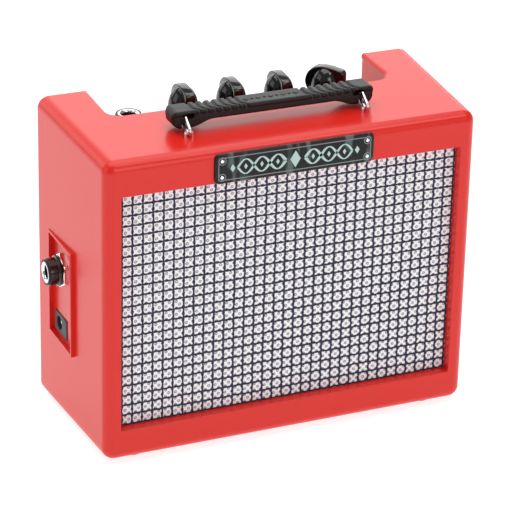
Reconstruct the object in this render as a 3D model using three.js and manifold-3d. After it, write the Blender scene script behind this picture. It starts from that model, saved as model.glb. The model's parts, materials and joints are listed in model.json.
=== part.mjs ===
// A small battery-powered guitar practice amplifier, as a scene graph of named parts.
// Millimetres, +Z up. The grille faces -Y, so +X is the right-hand side seen from the front.
// While it is being built, Y = 0 is the front face and Z = 0 the underside of the cabinet.
// At the end the whole group is moved so that its origin is the bottom centre of its bounding box.
import * as THREE from "three";
import { mergeVertices } from "three/addons/utils/BufferGeometryUtils.js";
import Module from "manifold-3d";

const wasm = await Module();
wasm.setup();

// ---------------------------------------------------------------- driving dimensions

// Cabinet: it grows slightly towards the back, because the moulding has draft.
const FRONT_WIDTH = 172;
const FRONT_HEIGHT = 139.8;
const DEPTH = 76.3;
const SIDE_DRAFT = 3.3; // added to each side between front and back
const TOP_DRAFT = 2.8; // added to the top between front and back
const BOTTOM_DRAFT = 1; // added to the bottom between front and back
const WALL = 2.6;
const FRONT_WALL = 4.7;
const EDGE_RADIUS = 4.7;
const CORNER_RADIUS = 5.2;
const BACK_EDGE = 1.2;

// Grille opening in the front wall
const OPENING_HALF_WIDTH = 78.7;
const OPENING_BOTTOM = 14.5;
const OPENING_TOP = 124.3;

// Control recess: a notch in the back of the top, with a plated panel on its floor
const RECESS_HALF_WIDTH = 66.2;
const RECESS_FRONT = 46.5;
const RECESS_CORNER = 6.5;
const RECESS_FLOOR = 125.5;
const RECESS_SKIN = 2.5;
const PANEL_THICKNESS = 1.5;
const PANEL_TOP = RECESS_FLOOR + PANEL_THICKNESS;
const CONTROLS_Y = 62;

// Side pocket for the phones and power sockets
const POCKET = { y0: 35.9, y1: 62.6, z0: 36.6, z1: 83.9 };
const POCKET_RIM = 1.2; // width of the raised rim
const POCKET_RIM_X = -89.3; // outer face of the rim
const POCKET_FLOOR_X = -87;
const POCKET_BACK_X = -84.4;
const PHONES_Y = 51.1;
const PHONES_Z = 70.4;
const POWER_Y = 52.8;
const POWER_Z = 42.9;
const POWER_WELL_OFFSET = 2; // the well is off the middle of the socket's face

// Back panel, its screws and the battery door
const PANEL_BACK_Y = DEPTH - 0.8; // outer face
const PANEL_BACK_THICKNESS = 2.5;
const PANEL_GAP = 0.35;
const SCREW_X = 82.2;
const SCREW_ZS = [12, 128];
const SCREW_LENGTH = 13; // under the head
const BOSS_START = PANEL_BACK_Y - 20;
const DOOR_HALF_WIDTH = 31;
const DOOR_BOTTOM = 9.2;
const DOOR_TOP = 46;
const DOOR_GAP = 0.15;
const DOOR_BARREL = 1.25;

// Handle: a moulded grip with a slotted pocket at each end, hung on wire links and eyes
const HANDLE_X = -1.3; // middle of the handle
const EYE_X = 41.2; // from the middle of the handle
const EYE_Y = 16;
const EYE_Z = 143.2;
const EYE_HALF_WIDTH = 1.55;
const EYE_WIRE = 0.62;
const LINK_WIRE = 0.72;
const LINK_EYE_BEND = 1.55;
const LINK_BAR_BEND = 2.1;
const BAR_Y = 20.75; // centre of the bar that a link goes round, at rest
const BAR_Z = 145.7;
const BAR_HALF = 0.85;
const GRIP_DEPTH = 10.5;
const GRIP_HALF_LENGTH = 47;
const GRIP_TOP = 150.3;
const GRIP_MIDDLE_BOTTOM = 145.1;
const GRIP_END_BOTTOM = 142.4;
const GRIP_POCKET_DEPTH = 4.8;
const GROOVES = 7;
const GROOVE_PITCH = 3.6;
const GROOVE_START = 15.4;

// Controls along the panel, left to right
const INPUT_X = -52.2;
const KNOB_XS = [-26.7, -3.8, 19.1, 42];
const KNOB_NAMES = ["gain", "volume", "tone", "power"];
const POWER_TURN = THREE.MathUtils.degToRad(45); // the power knob's pointer leans left of the others
const KNOB_BOTTOM = 1.9; // above the panel
const KNOB_HEIGHT = 15.9;
const KNOB_SKIRT = 8;
const BEAK_REACH = 9.4;
const TAIL_REACH = 9;
const BLADE_HALF_WIDTH = 2.3;
const SHAFT_RADIUS = 3;
const LED_X = 58.5;

// Loudspeakers, 2 inch
const SPEAKER_X = 39;
const SPEAKER_Z = 70.7;
const SPEAKER_RADIUS = 25.4;

const CLOTH_THICKNESS = 0.6;
const BAFFLE_THICKNESS = 2.6;
const BADGE = { x: -0.7, halfWidth: 36.8, z0: 124.4, z1: 137.8, thickness: 1.6, corner: 2 };
const FOOT = { radius: 6, bottom: -2, x: 70, y: [12, 63] };

// ---------------------------------------------------------------- materials

const finish = (color, roughness, metalness = 0) =>
  new THREE.MeshStandardMaterial({ color, roughness, metalness });
const RED = finish(0xd4352c, 0.4);
const GRIP_BLACK = finish(0x161414, 0.5);
const GLOSS_BLACK = finish(0x0c0b0b, 0.15);
const MATT_BLACK = finish(0x151515, 0.6);
const CHROME = finish(0xd8d8da, 0.12, 1);
const STEEL = finish(0x9a9c9e, 0.35, 1);
const CLOTH = finish(0xd9d6da, 0.85);
const BADGE_BLACK = finish(0x1c1b1c, 0.25);
const FERRITE = finish(0x2b2b2e, 0.7);
const PAPER = finish(0x22201f, 0.9);
const RUBBER = finish(0x101010, 0.8);
const BOARD_GREEN = finish(0x1f5a33, 0.5);
const CAN = finish(0x23304f, 0.4);
const BATTERY = finish(0x2a2d30, 0.35);
const LED_RED = finish(0xb01010, 0.2);

// ---------------------------------------------------------------- solids and how they join

// A closed geometry as a manifold-3d solid, facing outwards.
function solid(geometry) {
  const bare = geometry.index ? geometry.toNonIndexed() : geometry.clone();
  bare.deleteAttribute("normal");
  bare.deleteAttribute("uv");
  const merged = mergeVertices(bare, 1e-4);
  const corners = [];
  for (let i = 0; i < merged.index.count; i += 3) {
    const [a, b, c] = [0, 1, 2].map((k) => merged.index.getX(i + k));
    if (a !== b && b !== c && c !== a) corners.push(a, b, c);
  }
  const build = (order) =>
    new wasm.Manifold(
      new wasm.Mesh({
        numProp: 3,
        vertProperties: merged.attributes.position.array,
        triVerts: new Uint32Array(order),
      }),
    );
  const made = build(corners);
  if (made.volume() > 0) return made;
  return build(corners.reverse());
}

const join = (first, ...others) => others.reduce((sum, next) => sum.add(next), first);
const cut = (first, ...others) => others.reduce((rest, next) => rest.subtract(next), first);

// A named mesh of a solid.
function part(name, made, material) {
  const data = made.getMesh();
  const geometry = new THREE.BufferGeometry();
  const position = new THREE.BufferAttribute(new Float32Array(data.vertProperties), 3);
  geometry.setAttribute("position", position);
  geometry.setIndex(new THREE.BufferAttribute(data.triVerts, 1));
  geometry.computeVertexNormals();
  const mesh = new THREE.Mesh(geometry, material);
  mesh.name = name;
  return mesh;
}

// A box between two corners.
function box([x0, y0, z0], [x1, y1, z1]) {
  const geometry = new THREE.BoxGeometry(x1 - x0, y1 - y0, z1 - z0);
  return solid(geometry.translate((x0 + x1) / 2, (y0 + y1) / 2, (z0 + z1) / 2));
}

const TO_AXIS = {
  x: new THREE.Matrix4().makeRotationZ(-Math.PI / 2),
  y: new THREE.Matrix4(),
  z: new THREE.Matrix4().makeRotationX(Math.PI / 2),
};

// A cylinder along x, y or z, from one coordinate to another, with its axis through centre.
function rod(axis, centre, radius, from, to, sides = 24) {
  const geometry = new THREE.CylinderGeometry(radius, radius, to - from, sides);
  geometry.translate(0, (from + to) / 2, 0);
  geometry.applyMatrix4(TO_AXIS[axis]);
  return solid(geometry.translate(...centre));
}

// A profile of [radius, height] pairs turned about x, y or z.
function turned(axis, profile, sides = 32) {
  const points = profile.map(([r, h]) => new THREE.Vector2(r, h));
  return solid(new THREE.LatheGeometry(points, sides).applyMatrix4(TO_AXIS[axis]));
}

// An outline drawn in X and Z, made solid from Y = from to Y = to.
function extrudedY(shape, from, to, curveSegments = 6) {
  const options = { depth: to - from, bevelEnabled: false, curveSegments };
  const geometry = new THREE.ExtrudeGeometry(shape, options).rotateX(Math.PI / 2);
  return solid(geometry.translate(0, to, 0));
}

// An outline drawn in X and Y, made solid from Z = from to Z = to.
function extrudedZ(shape, from, to, curveSegments = 6) {
  const options = { depth: to - from, bevelEnabled: false, curveSegments };
  return solid(new THREE.ExtrudeGeometry(shape, options).translate(0, 0, from));
}

// A rectangle with round corners.
function roundedRectangle(x0, y0, x1, y1, radius) {
  const shape = new THREE.Shape();
  shape.moveTo(x0 + radius, y0);
  shape.lineTo(x1 - radius, y0);
  shape.absarc(x1 - radius, y0 + radius, radius, -Math.PI / 2, 0);
  shape.lineTo(x1, y1 - radius);
  shape.absarc(x1 - radius, y1 - radius, radius, 0, Math.PI / 2);
  shape.lineTo(x0 + radius, y1);
  shape.absarc(x0 + radius, y1 - radius, radius, Math.PI / 2, Math.PI);
  shape.lineTo(x0, y0 + radius);
  shape.absarc(x0 + radius, y0 + radius, radius, Math.PI, 1.5 * Math.PI);
  return shape;
}

// A skin through rings that have the same number of points, closed flat at both ends
// or, for a loop, from the last ring back to the first.
function skin(rings, loop = false) {
  const positions = [];
  const put = (...points) => points.forEach((p) => positions.push(p.x, p.y, p.z));
  const last = loop ? rings.length : rings.length - 1;
  for (let i = 0; i < last; i++) {
    const here = rings[i];
    const next = rings[(i + 1) % rings.length];
    here.forEach((p, k) => {
      const q = here[(k + 1) % here.length];
      const r = next[(k + 1) % next.length];
      put(p, q, r);
      put(p, r, next[k]);
    });
  }
  if (!loop) {
    for (const [ring, flip] of [[rings[0], true], [rings[rings.length - 1], false]])
      for (let k = 1; k < ring.length - 1; k++)
        flip ? put(ring[0], ring[k + 1], ring[k]) : put(ring[0], ring[k], ring[k + 1]);
  }
  const geometry = new THREE.BufferGeometry();
  geometry.setAttribute("position", new THREE.Float32BufferAttribute(positions, 3));
  return solid(geometry);
}

// A round wire along points that lie in a plane with the given normal.
function wire(points, normal, radius, loop, sides = 8) {
  const rings = points.map((p, i) => {
    const before = loop ? points.at(i - 1) : points[Math.max(i - 1, 0)];
    const after = loop ? points[(i + 1) % points.length] : points[Math.min(i + 1, points.length - 1)];
    const across = new THREE.Vector3().subVectors(after, before).normalize().cross(normal);
    return Array.from({ length: sides }, (_, k) => {
      const a = (2 * Math.PI * k) / sides;
      return p
        .clone()
        .addScaledVector(across, radius * Math.cos(a))
        .addScaledVector(normal, radius * Math.sin(a));
    });
  });
  return skin(rings, loop);
}

// ---------------------------------------------------------------- cabinet

const halfWidthAt = (y) => FRONT_WIDTH / 2 + (SIDE_DRAFT * y) / DEPTH;
const topAt = (y) => FRONT_HEIGHT + (TOP_DRAFT * y) / DEPTH;
const bottomAt = (y) => (-BOTTOM_DRAFT * y) / DEPTH;

// The cabinet's outline at depth y, moved inwards by inset.
function cabinetRing(y, inset) {
  const steps = 5;
  const halfWidth = halfWidthAt(y) - inset;
  const radius = CORNER_RADIUS - Math.min(inset, EDGE_RADIUS);
  const [low, high] = [bottomAt(y) + inset + radius, topAt(y) - inset - radius];
  const side = halfWidth - radius;
  const corners = [[side, low, -90], [side, high, 0], [-side, high, 90], [-side, low, 180]];
  return corners.flatMap(([x, z, start]) =>
    Array.from({ length: steps + 1 }, (_, i) => {
      const a = THREE.MathUtils.degToRad(start + (90 * i) / steps);
      return new THREE.Vector3(x + radius * Math.cos(a), y, z + radius * Math.sin(a));
    }),
  );
}

// The outside of the cabinet, with its front and back edges rounded.
function cabinetOutside() {
  const steps = 5;
  const rings = [];
  for (let i = 0; i <= steps; i++) {
    const a = ((Math.PI / 2) * i) / steps;
    rings.push(cabinetRing(EDGE_RADIUS * (1 - Math.cos(a)), EDGE_RADIUS * (1 - Math.sin(a))));
  }
  rings.push(cabinetRing(DEPTH - BACK_EDGE, 0), cabinetRing(DEPTH, BACK_EDGE * 0.8));
  return skin(rings);
}

// The control recess in plan: round at its front corners and open past the back.
function recessPlan(margin, back) {
  const x = RECESS_HALF_WIDTH + margin;
  const y = RECESS_FRONT - margin;
  const radius = RECESS_CORNER + margin;
  const shape = new THREE.Shape();
  shape.moveTo(-x, back);
  shape.lineTo(-x, y + radius);
  shape.absarc(-x + radius, y + radius, radius, Math.PI, 1.5 * Math.PI);
  shape.lineTo(x - radius, y);
  shape.absarc(x - radius, y + radius, radius, -Math.PI / 2, 0);
  shape.lineTo(x, back);
  return shape;
}

function cabinetShell() {
  const outside = cabinetOutside();
  const cavityRings = [FRONT_WALL, DEPTH + 2].map((y) => cabinetRing(y, WALL));
  const recessUnder = RECESS_FLOOR - RECESS_SKIN;
  const recessPan = extrudedZ(recessPlan(RECESS_SKIN, DEPTH), recessUnder, FRONT_HEIGHT + 5);
  const pocketRim = box(
    [POCKET_RIM_X, POCKET.y0 - POCKET_RIM, POCKET.z0 - POCKET_RIM],
    [POCKET_BACK_X, POCKET.y1 + POCKET_RIM, POCKET.z1 + POCKET_RIM],
  );
  const bosses = [-1, 1].flatMap((side) =>
    SCREW_ZS.flatMap((z) => {
      const end = PANEL_BACK_Y - PANEL_BACK_THICKNESS;
      const [inner, outer] = [SCREW_X * side, (SCREW_X + 4.6) * side].sort((a, b) => a - b);
      return [
        rod("y", [SCREW_X * side, 0, z], 3.6, BOSS_START, end, 16),
        box([inner, BOSS_START, z - 1.5], [outer, end, z + 1.5]),
      ];
    }),
  );
  const hollow = cut(outside, skin(cavityRings));
  const body = join(hollow, outside.intersect(join(recessPan, ...bosses)), pocketRim);
  const bushHoles = KNOB_XS.map((x) =>
    rod("z", [x, CONTROLS_Y, 0], 3.9, recessUnder - 1, RECESS_FLOOR + 1, 16),
  );
  const eyeHoles = [-1, 1].flatMap((side) =>
    [-1, 1].map((leg) => {
      const x = HANDLE_X + EYE_X * side + EYE_HALF_WIDTH * leg;
      return rod("z", [x, EYE_Y, 0], EYE_WIRE + 0.2, FRONT_HEIGHT - 5, FRONT_HEIGHT + 4, 8);
    }),
  );
  const pilotHoles = [-1, 1].flatMap((side) =>
    SCREW_ZS.map((z) => rod("y", [SCREW_X * side, 0, z], 1.4, BOSS_START + 4, DEPTH, 8)),
  );
  return cut(
    body,
    extrudedZ(recessPlan(0, DEPTH + 5), RECESS_FLOOR, FRONT_HEIGHT + 10),
    box(
      [-OPENING_HALF_WIDTH, -1, OPENING_BOTTOM],
      [OPENING_HALF_WIDTH, FRONT_WALL + 1, OPENING_TOP],
    ),
    box(
      [POCKET_RIM_X - 5, POCKET.y0, POCKET.z0],
      [POCKET_FLOOR_X, POCKET.y1, POCKET.z1],
    ),
    rod("x", [0, PHONES_Y, PHONES_Z], 5.3, POCKET_FLOOR_X - 1, POCKET_BACK_X + 1, 20),
    box(
      [POCKET_FLOOR_X - 1, POWER_Y - 7.6, POWER_Z - 4.9],
      [POCKET_BACK_X + 1, POWER_Y + 7.6, POWER_Z + 4.9],
    ),
    rod("z", [INPUT_X, CONTROLS_Y, 0], 5.3, recessUnder - 1, RECESS_FLOOR + 1, 20),
    rod("z", [LED_X, CONTROLS_Y, 0], 1.9, recessUnder - 1, RECESS_FLOOR + 1, 10),
    ...bushHoles,
    ...eyeHoles,
    ...pilotHoles,
  );
}

function backPanel() {
  const y0 = PANEL_BACK_Y - PANEL_BACK_THICKNESS;
  const plate = skin([y0, PANEL_BACK_Y].map((y) => cabinetRing(y, WALL + PANEL_GAP)));
  const notch = box(
    [-RECESS_HALF_WIDTH - RECESS_SKIN - PANEL_GAP, y0 - 1, RECESS_FLOOR - RECESS_SKIN - PANEL_GAP],
    [RECESS_HALF_WIDTH + RECESS_SKIN + PANEL_GAP, DEPTH + 1, FRONT_HEIGHT + 10],
  );
  const doorway = box([-DOOR_HALF_WIDTH, y0 - 1, DOOR_BOTTOM], [DOOR_HALF_WIDTH, DEPTH + 1, DOOR_TOP]);
  const screwHoles = [-1, 1].flatMap((side) =>
    SCREW_ZS.flatMap((z) => {
      const centre = [SCREW_X * side, 0, z];
      return [
        rod("y", centre, 1.6, y0 - 1, DEPTH + 1, 12),
        rod("y", centre, 3.2, PANEL_BACK_Y - 1.5, DEPTH + 1, 16),
      ];
    }),
  );
  return cut(plate, notch, doorway, ...screwHoles);
}

// A pan-head screw that points along -Y.
function coverScrew() {
  const head = PANEL_BACK_Y - 1.5;
  const body = join(
    rod("y", [0, 0, 0], 2.9, head, PANEL_BACK_Y - 0.1, 16),
    rod("y", [0, 0, 0], 1.15, head - SCREW_LENGTH, head + 0.5, 10),
  );
  const slots = [
    box([-1.6, PANEL_BACK_Y - 0.8, -0.35], [1.6, DEPTH, 0.35]),
    box([-0.35, PANEL_BACK_Y - 0.8, -1.6], [0.35, DEPTH, 1.6]),
  ];
  return cut(body, ...slots);
}

const DOOR_AXIS_Y = PANEL_BACK_Y - DOOR_BARREL;
const DOOR_AXIS_Z = DOOR_BOTTOM + DOOR_GAP + DOOR_BARREL;

// The battery door turns on the barrel along its bottom edge.
function batteryDoor() {
  const y0 = PANEL_BACK_Y - PANEL_BACK_THICKNESS;
  const x = DOOR_HALF_WIDTH - DOOR_GAP;
  const plate = box([-x, y0, DOOR_AXIS_Z], [x, PANEL_BACK_Y, DOOR_TOP - DOOR_GAP]);
  const barrel = rod("x", [0, DOOR_AXIS_Y, DOOR_AXIS_Z], DOOR_BARREL, -x, x, 16);
  const thumb = box([-9, PANEL_BACK_Y - 1.2, DOOR_TOP - 6], [9, DEPTH, DOOR_TOP]);
  const ridges = [0, 1, 2].map((i) => {
    const z = DOOR_TOP - 9 - 2.4 * i;
    return box([-9, PANEL_BACK_Y - 0.5, z - 0.5], [9, DEPTH, z + 0.5]);
  });
  return cut(join(plate, barrel), thumb, ...ridges);
}

// ---------------------------------------------------------------- battery

const TRAY = { x0: -32.5, x1: 29.5, y0: 52.3, z0: 12.2, z1: 44.6, wall: 1.6 };
const CELL = { x0: -21.5, x1: 27, y0: 54.5, y1: 72, z0: 14.6, z1: 41.1 };
const TERMINAL_ZS = [CELL.z0 + 6.9, CELL.z1 - 6.9];

function batteryTray() {
  const y1 = PANEL_BACK_Y - PANEL_BACK_THICKNESS;
  const w = TRAY.wall;
  return cut(
    box([TRAY.x0, TRAY.y0, TRAY.z0], [TRAY.x1, y1, TRAY.z1]),
    box([TRAY.x0 + w, TRAY.y0 + w, TRAY.z0 + w], [TRAY.x1 - w, y1 + 1, TRAY.z1 - w]),
    rod("x", [0, 63, 28], 2.2, TRAY.x0 - 1, TRAY.x0 + 4, 10), // lead-out hole
  );
}

function batteryCell() {
  const middleY = (CELL.y0 + CELL.y1) / 2;
  const body = box([CELL.x0, CELL.y0, CELL.z0], [CELL.x1, CELL.y1, CELL.z1]);
  const studs = TERMINAL_ZS.map((z) =>
    rod("x", [0, middleY, z], 2.8, CELL.x0 - 2.6, CELL.x0 + 0.5, 12),
  );
  return join(body, ...studs);
}

function batterySnap() {
  const middleY = (CELL.y0 + CELL.y1) / 2;
  const x1 = CELL.x0 - 0.3;
  const body = box([x1 - 4.4, middleY - 6.4, CELL.z0 + 0.6], [x1, middleY + 6.4, CELL.z1 - 0.6]);
  const wells = TERMINAL_ZS.map((z) => rod("x", [0, middleY, z], 3.3, x1 - 3.2, x1 + 1, 12));
  return cut(body, ...wells);
}

// ---------------------------------------------------------------- grille and badge

const CLOTH_BACK = FRONT_WALL + CLOTH_THICKNESS;
const BAFFLE_BACK = CLOTH_BACK + BAFFLE_THICKNESS;
const GRILLE_MARGIN = 3.2;

function grilleSheet(y0, y1) {
  const x = OPENING_HALF_WIDTH + GRILLE_MARGIN;
  return box([-x, y0, OPENING_BOTTOM - GRILLE_MARGIN], [x, y1, OPENING_TOP + GRILLE_MARGIN]);
}

function grilleBaffle() {
  const holes = [-1, 1].map((side) =>
    rod("y", [SPEAKER_X * side, 0, SPEAKER_Z], 22.6, 0, BAFFLE_BACK + 1, 40),
  );
  return cut(grilleSheet(CLOTH_BACK, BAFFLE_BACK), ...holes);
}

function badgePlate() {
  const { x, halfWidth, z0, z1, thickness, corner } = BADGE;
  return extrudedY(roundedRectangle(x - halfWidth, z0, x + halfWidth, z1, corner), -thickness, 0);
}

// ---------------------------------------------------------------- handle

// The grip seen from the front: round lobes at the ends and a thinner middle.
function gripOutline() {
  const nose = 4.2;
  const shoulder = 2.4;
  const end = GRIP_HALF_LENGTH;
  const bottom = GRIP_END_BOTTOM;
  const half = [];
  const arc = (x, z, radius, from, to) => {
    for (let i = 0; i <= 5; i++) {
      const a = THREE.MathUtils.degToRad(from + ((to - from) * i) / 5);
      half.push([x + radius * Math.cos(a), z + radius * Math.sin(a)]);
    }
  };
  half.push([28, GRIP_MIDDLE_BOTTOM], [38, bottom]);
  arc(end - nose, bottom + nose, nose, -90, 0);
  arc(end - shoulder, GRIP_TOP - shoulder, shoulder, 0, 90);
  const mirrored = half.map(([x, z]) => [-x, z]).reverse();
  return new THREE.Shape([...half, ...mirrored].map(([x, z]) => new THREE.Vector2(x, z)));
}

function handleGrip() {
  const front = BAR_Y - BAR_HALF;
  const back = front + GRIP_DEPTH;
  const inside = front + 2 * BAR_HALF;
  const cuts = [-1, 1].flatMap((side) => {
    const span = (from, to) => [from, to].map((d) => (EYE_X + d) * side).sort((p, q) => p - q);
    const [p0, p1] = span(-6.2, 2.8);
    const [s0, s1] = span(-4.2, 1.1);
    const [n0, n1] = span(-1.5, 1.5);
    const grooves = Array.from({ length: GROOVES }, (_, i) => {
      const x = (GROOVE_START + GROOVE_PITCH * i) * side;
      return box([x - 0.45, front - 1, GRIP_TOP - 0.7], [x + 0.45, back + 1, GRIP_TOP + 1]);
    });
    return [
      box([p0, inside, GRIP_END_BOTTOM - 1], [p1, inside + GRIP_POCKET_DEPTH, GRIP_TOP - 1.2]), // pocket
      box([s0, front - 1, BAR_Z + BAR_HALF], [s1, inside + 1, GRIP_TOP - 1.4]), // slot over the bar
      box([n0, front - 1, GRIP_END_BOTTOM - 1], [n1, inside + 1, BAR_Z - BAR_HALF]), // notch under it
      ...grooves,
    ];
  });
  return cut(extrudedY(gripOutline(), front, back), ...cuts);
}

// A long round link in the YZ plane, from the eye to the bar, narrower at the eye.
function handleLink(x) {
  const steps = 8;
  const [dy, dz] = [BAR_Y - EYE_Y, BAR_Z - EYE_Z];
  const lean = Math.atan2(dz, dy);
  const points = [];
  const ends = [[EYE_Y, EYE_Z, Math.PI, LINK_EYE_BEND], [BAR_Y, BAR_Z, 0, LINK_BAR_BEND]];
  for (const [y, z, turn, bend] of ends)
    for (let i = 0; i <= steps; i++) {
      const a = lean + turn - Math.PI / 2 + (Math.PI * i) / steps;
      points.push(new THREE.Vector3(x, y + bend * Math.cos(a), z + bend * Math.sin(a)));
    }
  return wire(points, new THREE.Vector3(1, 0, 0), LINK_WIRE, true);
}

// An inverted U of wire whose legs go through the top of the cabinet.
function handleEye(x) {
  const steps = 8;
  const legEnd = FRONT_HEIGHT - 6;
  const centre = EYE_Z - EYE_HALF_WIDTH;
  const points = [new THREE.Vector3(x - EYE_HALF_WIDTH, EYE_Y, legEnd)];
  for (let i = 0; i <= steps; i++) {
    const a = Math.PI - (Math.PI * i) / steps;
    const [across, up] = [EYE_HALF_WIDTH * Math.cos(a), EYE_HALF_WIDTH * Math.sin(a)];
    points.push(new THREE.Vector3(x + across, EYE_Y, centre + up));
  }
  points.push(new THREE.Vector3(x + EYE_HALF_WIDTH, EYE_Y, legEnd));
  return wire(points, new THREE.Vector3(0, 1, 0), EYE_WIRE, false);
}

// ---------------------------------------------------------------- controls

function controlPanel() {
  const plan = recessPlan(-0.3, DEPTH - 0.8);
  const holes = KNOB_XS.map((x) => rod("z", [x, CONTROLS_Y, 0], 3.8, RECESS_FLOOR - 1, PANEL_TOP + 1, 16));
  return cut(
    extrudedZ(plan, RECESS_FLOOR, PANEL_TOP),
    rod("z", [INPUT_X, CONTROLS_Y, 0], 5.3, RECESS_FLOOR - 1, PANEL_TOP + 1, 20),
    rod("z", [LED_X, CONTROLS_Y, 0], 1.8, RECESS_FLOOR - 1, PANEL_TOP + 1, 10),
    ...holes,
  );
}

// A pointer knob: a bell with a blade across it, its beak towards +Y. Its axis is Z and its foot Z = 0.
function pointerKnob() {
  const top = KNOB_HEIGHT;
  const bell = turned("z", [
    [0, 0], [KNOB_SKIRT, 0], [KNOB_SKIRT, 2.4], [7.3, 3.4], [7.1, 6.5], [6.7, 9.3],
    [5.9, 12], [4.6, 14], [2.6, 15.2], [0, 15.5],
  ], 28);
  const blade = new THREE.Shape();
  blade.moveTo(-TAIL_REACH, 3);
  blade.lineTo(-TAIL_REACH, top - 3.2);
  blade.quadraticCurveTo(-TAIL_REACH + 0.2, top - 1.6, -TAIL_REACH + 2, top - 1.2);
  blade.quadraticCurveTo(-2, top + 0.3, 2.6, top - 0.4);
  blade.quadraticCurveTo(7.6, top - 2, BEAK_REACH, 8.6);
  blade.lineTo(BEAK_REACH, 6.6);
  blade.lineTo(6.6, 3);
  const options = { depth: 2 * BLADE_HALF_WIDTH, bevelEnabled: false, curveSegments: 5 };
  const plate = new THREE.ExtrudeGeometry(blade, options)
    .translate(0, 0, -BLADE_HALF_WIDTH)
    .rotateX(Math.PI / 2)
    .rotateZ(Math.PI / 2);
  const bore = rod("z", [0, 0, 0], SHAFT_RADIUS + 0.15, -1, 11, 20);
  return cut(join(bell, solid(plate)), bore);
}

const PCB_TOP = 111.3;

// A potentiometer or rotary switch below the panel. Its axis is Z and Z = 0 the top of the panel.
function potBody() {
  const under = RECESS_FLOOR - RECESS_SKIN - PANEL_TOP;
  const floor = PCB_TOP + 0.3 - PANEL_TOP;
  const body = join(
    box([-5.5, -6, floor], [5.5, 6, under]),
    rod("z", [0, 0, 0], 3.5, under - 0.5, 1.7, 20),
  );
  return cut(body, rod("z", [0, 0, 0], SHAFT_RADIUS + 0.1, floor + 1.5, 3, 24));
}

function potShaft() {
  const floor = PCB_TOP + 2.1 - PANEL_TOP;
  return rod("z", [0, 0, 0], SHAFT_RADIUS, floor, KNOB_BOTTOM + 10.6, 20);
}

// A hexagon nut with its flat on Z = 0.
function hexNut(acrossFlats, height, boreRadius) {
  const corner = acrossFlats / Math.sqrt(3);
  const hexagon = solid(
    new THREE.CylinderGeometry(corner, corner, height, 6).translate(0, height / 2, 0).rotateX(Math.PI / 2),
  );
  return cut(hexagon, rod("z", [0, 0, 0], boreRadius, -1, height + 1, 20));
}

// One control: what turns is on the joint's axis, and the rest is fixed to the panel.
function control(name, x, turn) {
  const group = new THREE.Group();
  group.position.set(x, CONTROLS_Y, PANEL_TOP);
  const knob = part(`${name}_knob`, pointerKnob(), GLOSS_BLACK);
  knob.position.z = KNOB_BOTTOM;
  knob.rotation.z = turn;
  group.add(
    knob,
    part(`${name}_shaft`, potShaft(), STEEL),
    part(name === "power" ? "power_switch" : `${name}_pot`, potBody(), STEEL),
    part(`${name}_nut`, hexNut(9, 1.4, 3.65), STEEL),
  );
  return group;
}

// A 6.35 mm jack socket. Its axis is Z, the mouth up, and Z = 0 the face that its nut bears on.
const JACK = { nut: 2, flange: 3.2, tip: 8.2, bore: 3.2, thread: 5, collar: 6.1 };
function jackSocket(name, bodyTop) {
  const barrel = turned("z", [
    [0, bodyTop - 1], [JACK.thread, bodyTop - 1], [JACK.thread, JACK.tip - 0.8],
    [5.7, JACK.tip - 0.8], [5.7, JACK.tip], [0, JACK.tip],
  ], 24);
  const body = box([-8, -7, bodyTop - 22], [8, 7, bodyTop]);
  const bore = rod("z", [0, 0, 0], JACK.bore, bodyTop - 20, JACK.tip + 1, 20);
  const socket = cut(join(barrel, body), bore);
  const collar = turned("z", [
    [5.15, JACK.nut + 0.1], [6.9, JACK.nut + 0.1], [6.9, JACK.flange], [JACK.collar, JACK.flange + 0.2],
    [JACK.collar, JACK.tip - 1], [5.15, JACK.tip - 1], [5.15, JACK.nut + 0.1],
  ], 28);
  const group = new THREE.Group();
  group.add(
    part(name, socket, MATT_BLACK),
    part(`${name}_nut`, hexNut(14, JACK.nut, 5.2), CHROME),
    part(`${name}_collar`, collar, GLOSS_BLACK),
  );
  return group;
}

function powerSocket() {
  const face = POCKET_FLOOR_X - 0.5;
  const centre = [0, POWER_Y + POWER_WELL_OFFSET, POWER_Z];
  const block = box([face, POWER_Y - 7.4, POWER_Z - 4.7], [face + 13.5, POWER_Y + 7.4, POWER_Z + 4.7]);
  const well = rod("x", centre, 3.2, face - 1, face + 9.5, 20);
  const pin = rod("x", centre, 1.05, face + 0.8, face + 10, 10);
  return join(cut(block, well), pin);
}

function powerLed() {
  const under = RECESS_FLOOR - RECESS_SKIN;
  return turned("z", [
    [0, under - 3], [1.6, under - 3], [1.6, PANEL_TOP + 0.6], [1.2, PANEL_TOP + 1.5], [0, PANEL_TOP + 1.9],
  ], 12).translate([LED_X, CONTROLS_Y, 0]);
}

// ---------------------------------------------------------------- electronics

function electronics() {
  const board = box([-34, 47, PCB_TOP - 1.6], [56, 72, PCB_TOP]);
  const chip = box([3, 56, PCB_TOP - 5.2], [12.5, 62.4, PCB_TOP - 1.9]);
  const can = rod("z", [-14, 62, 0], 4, PCB_TOP - 14, PCB_TOP - 1.9, 20);
  return [
    part("main_board", board, BOARD_GREEN),
    part("audio_chip", chip, MATT_BLACK),
    part("filter_capacitor", can, CAN),
  ];
}

// ---------------------------------------------------------------- loudspeakers

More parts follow.
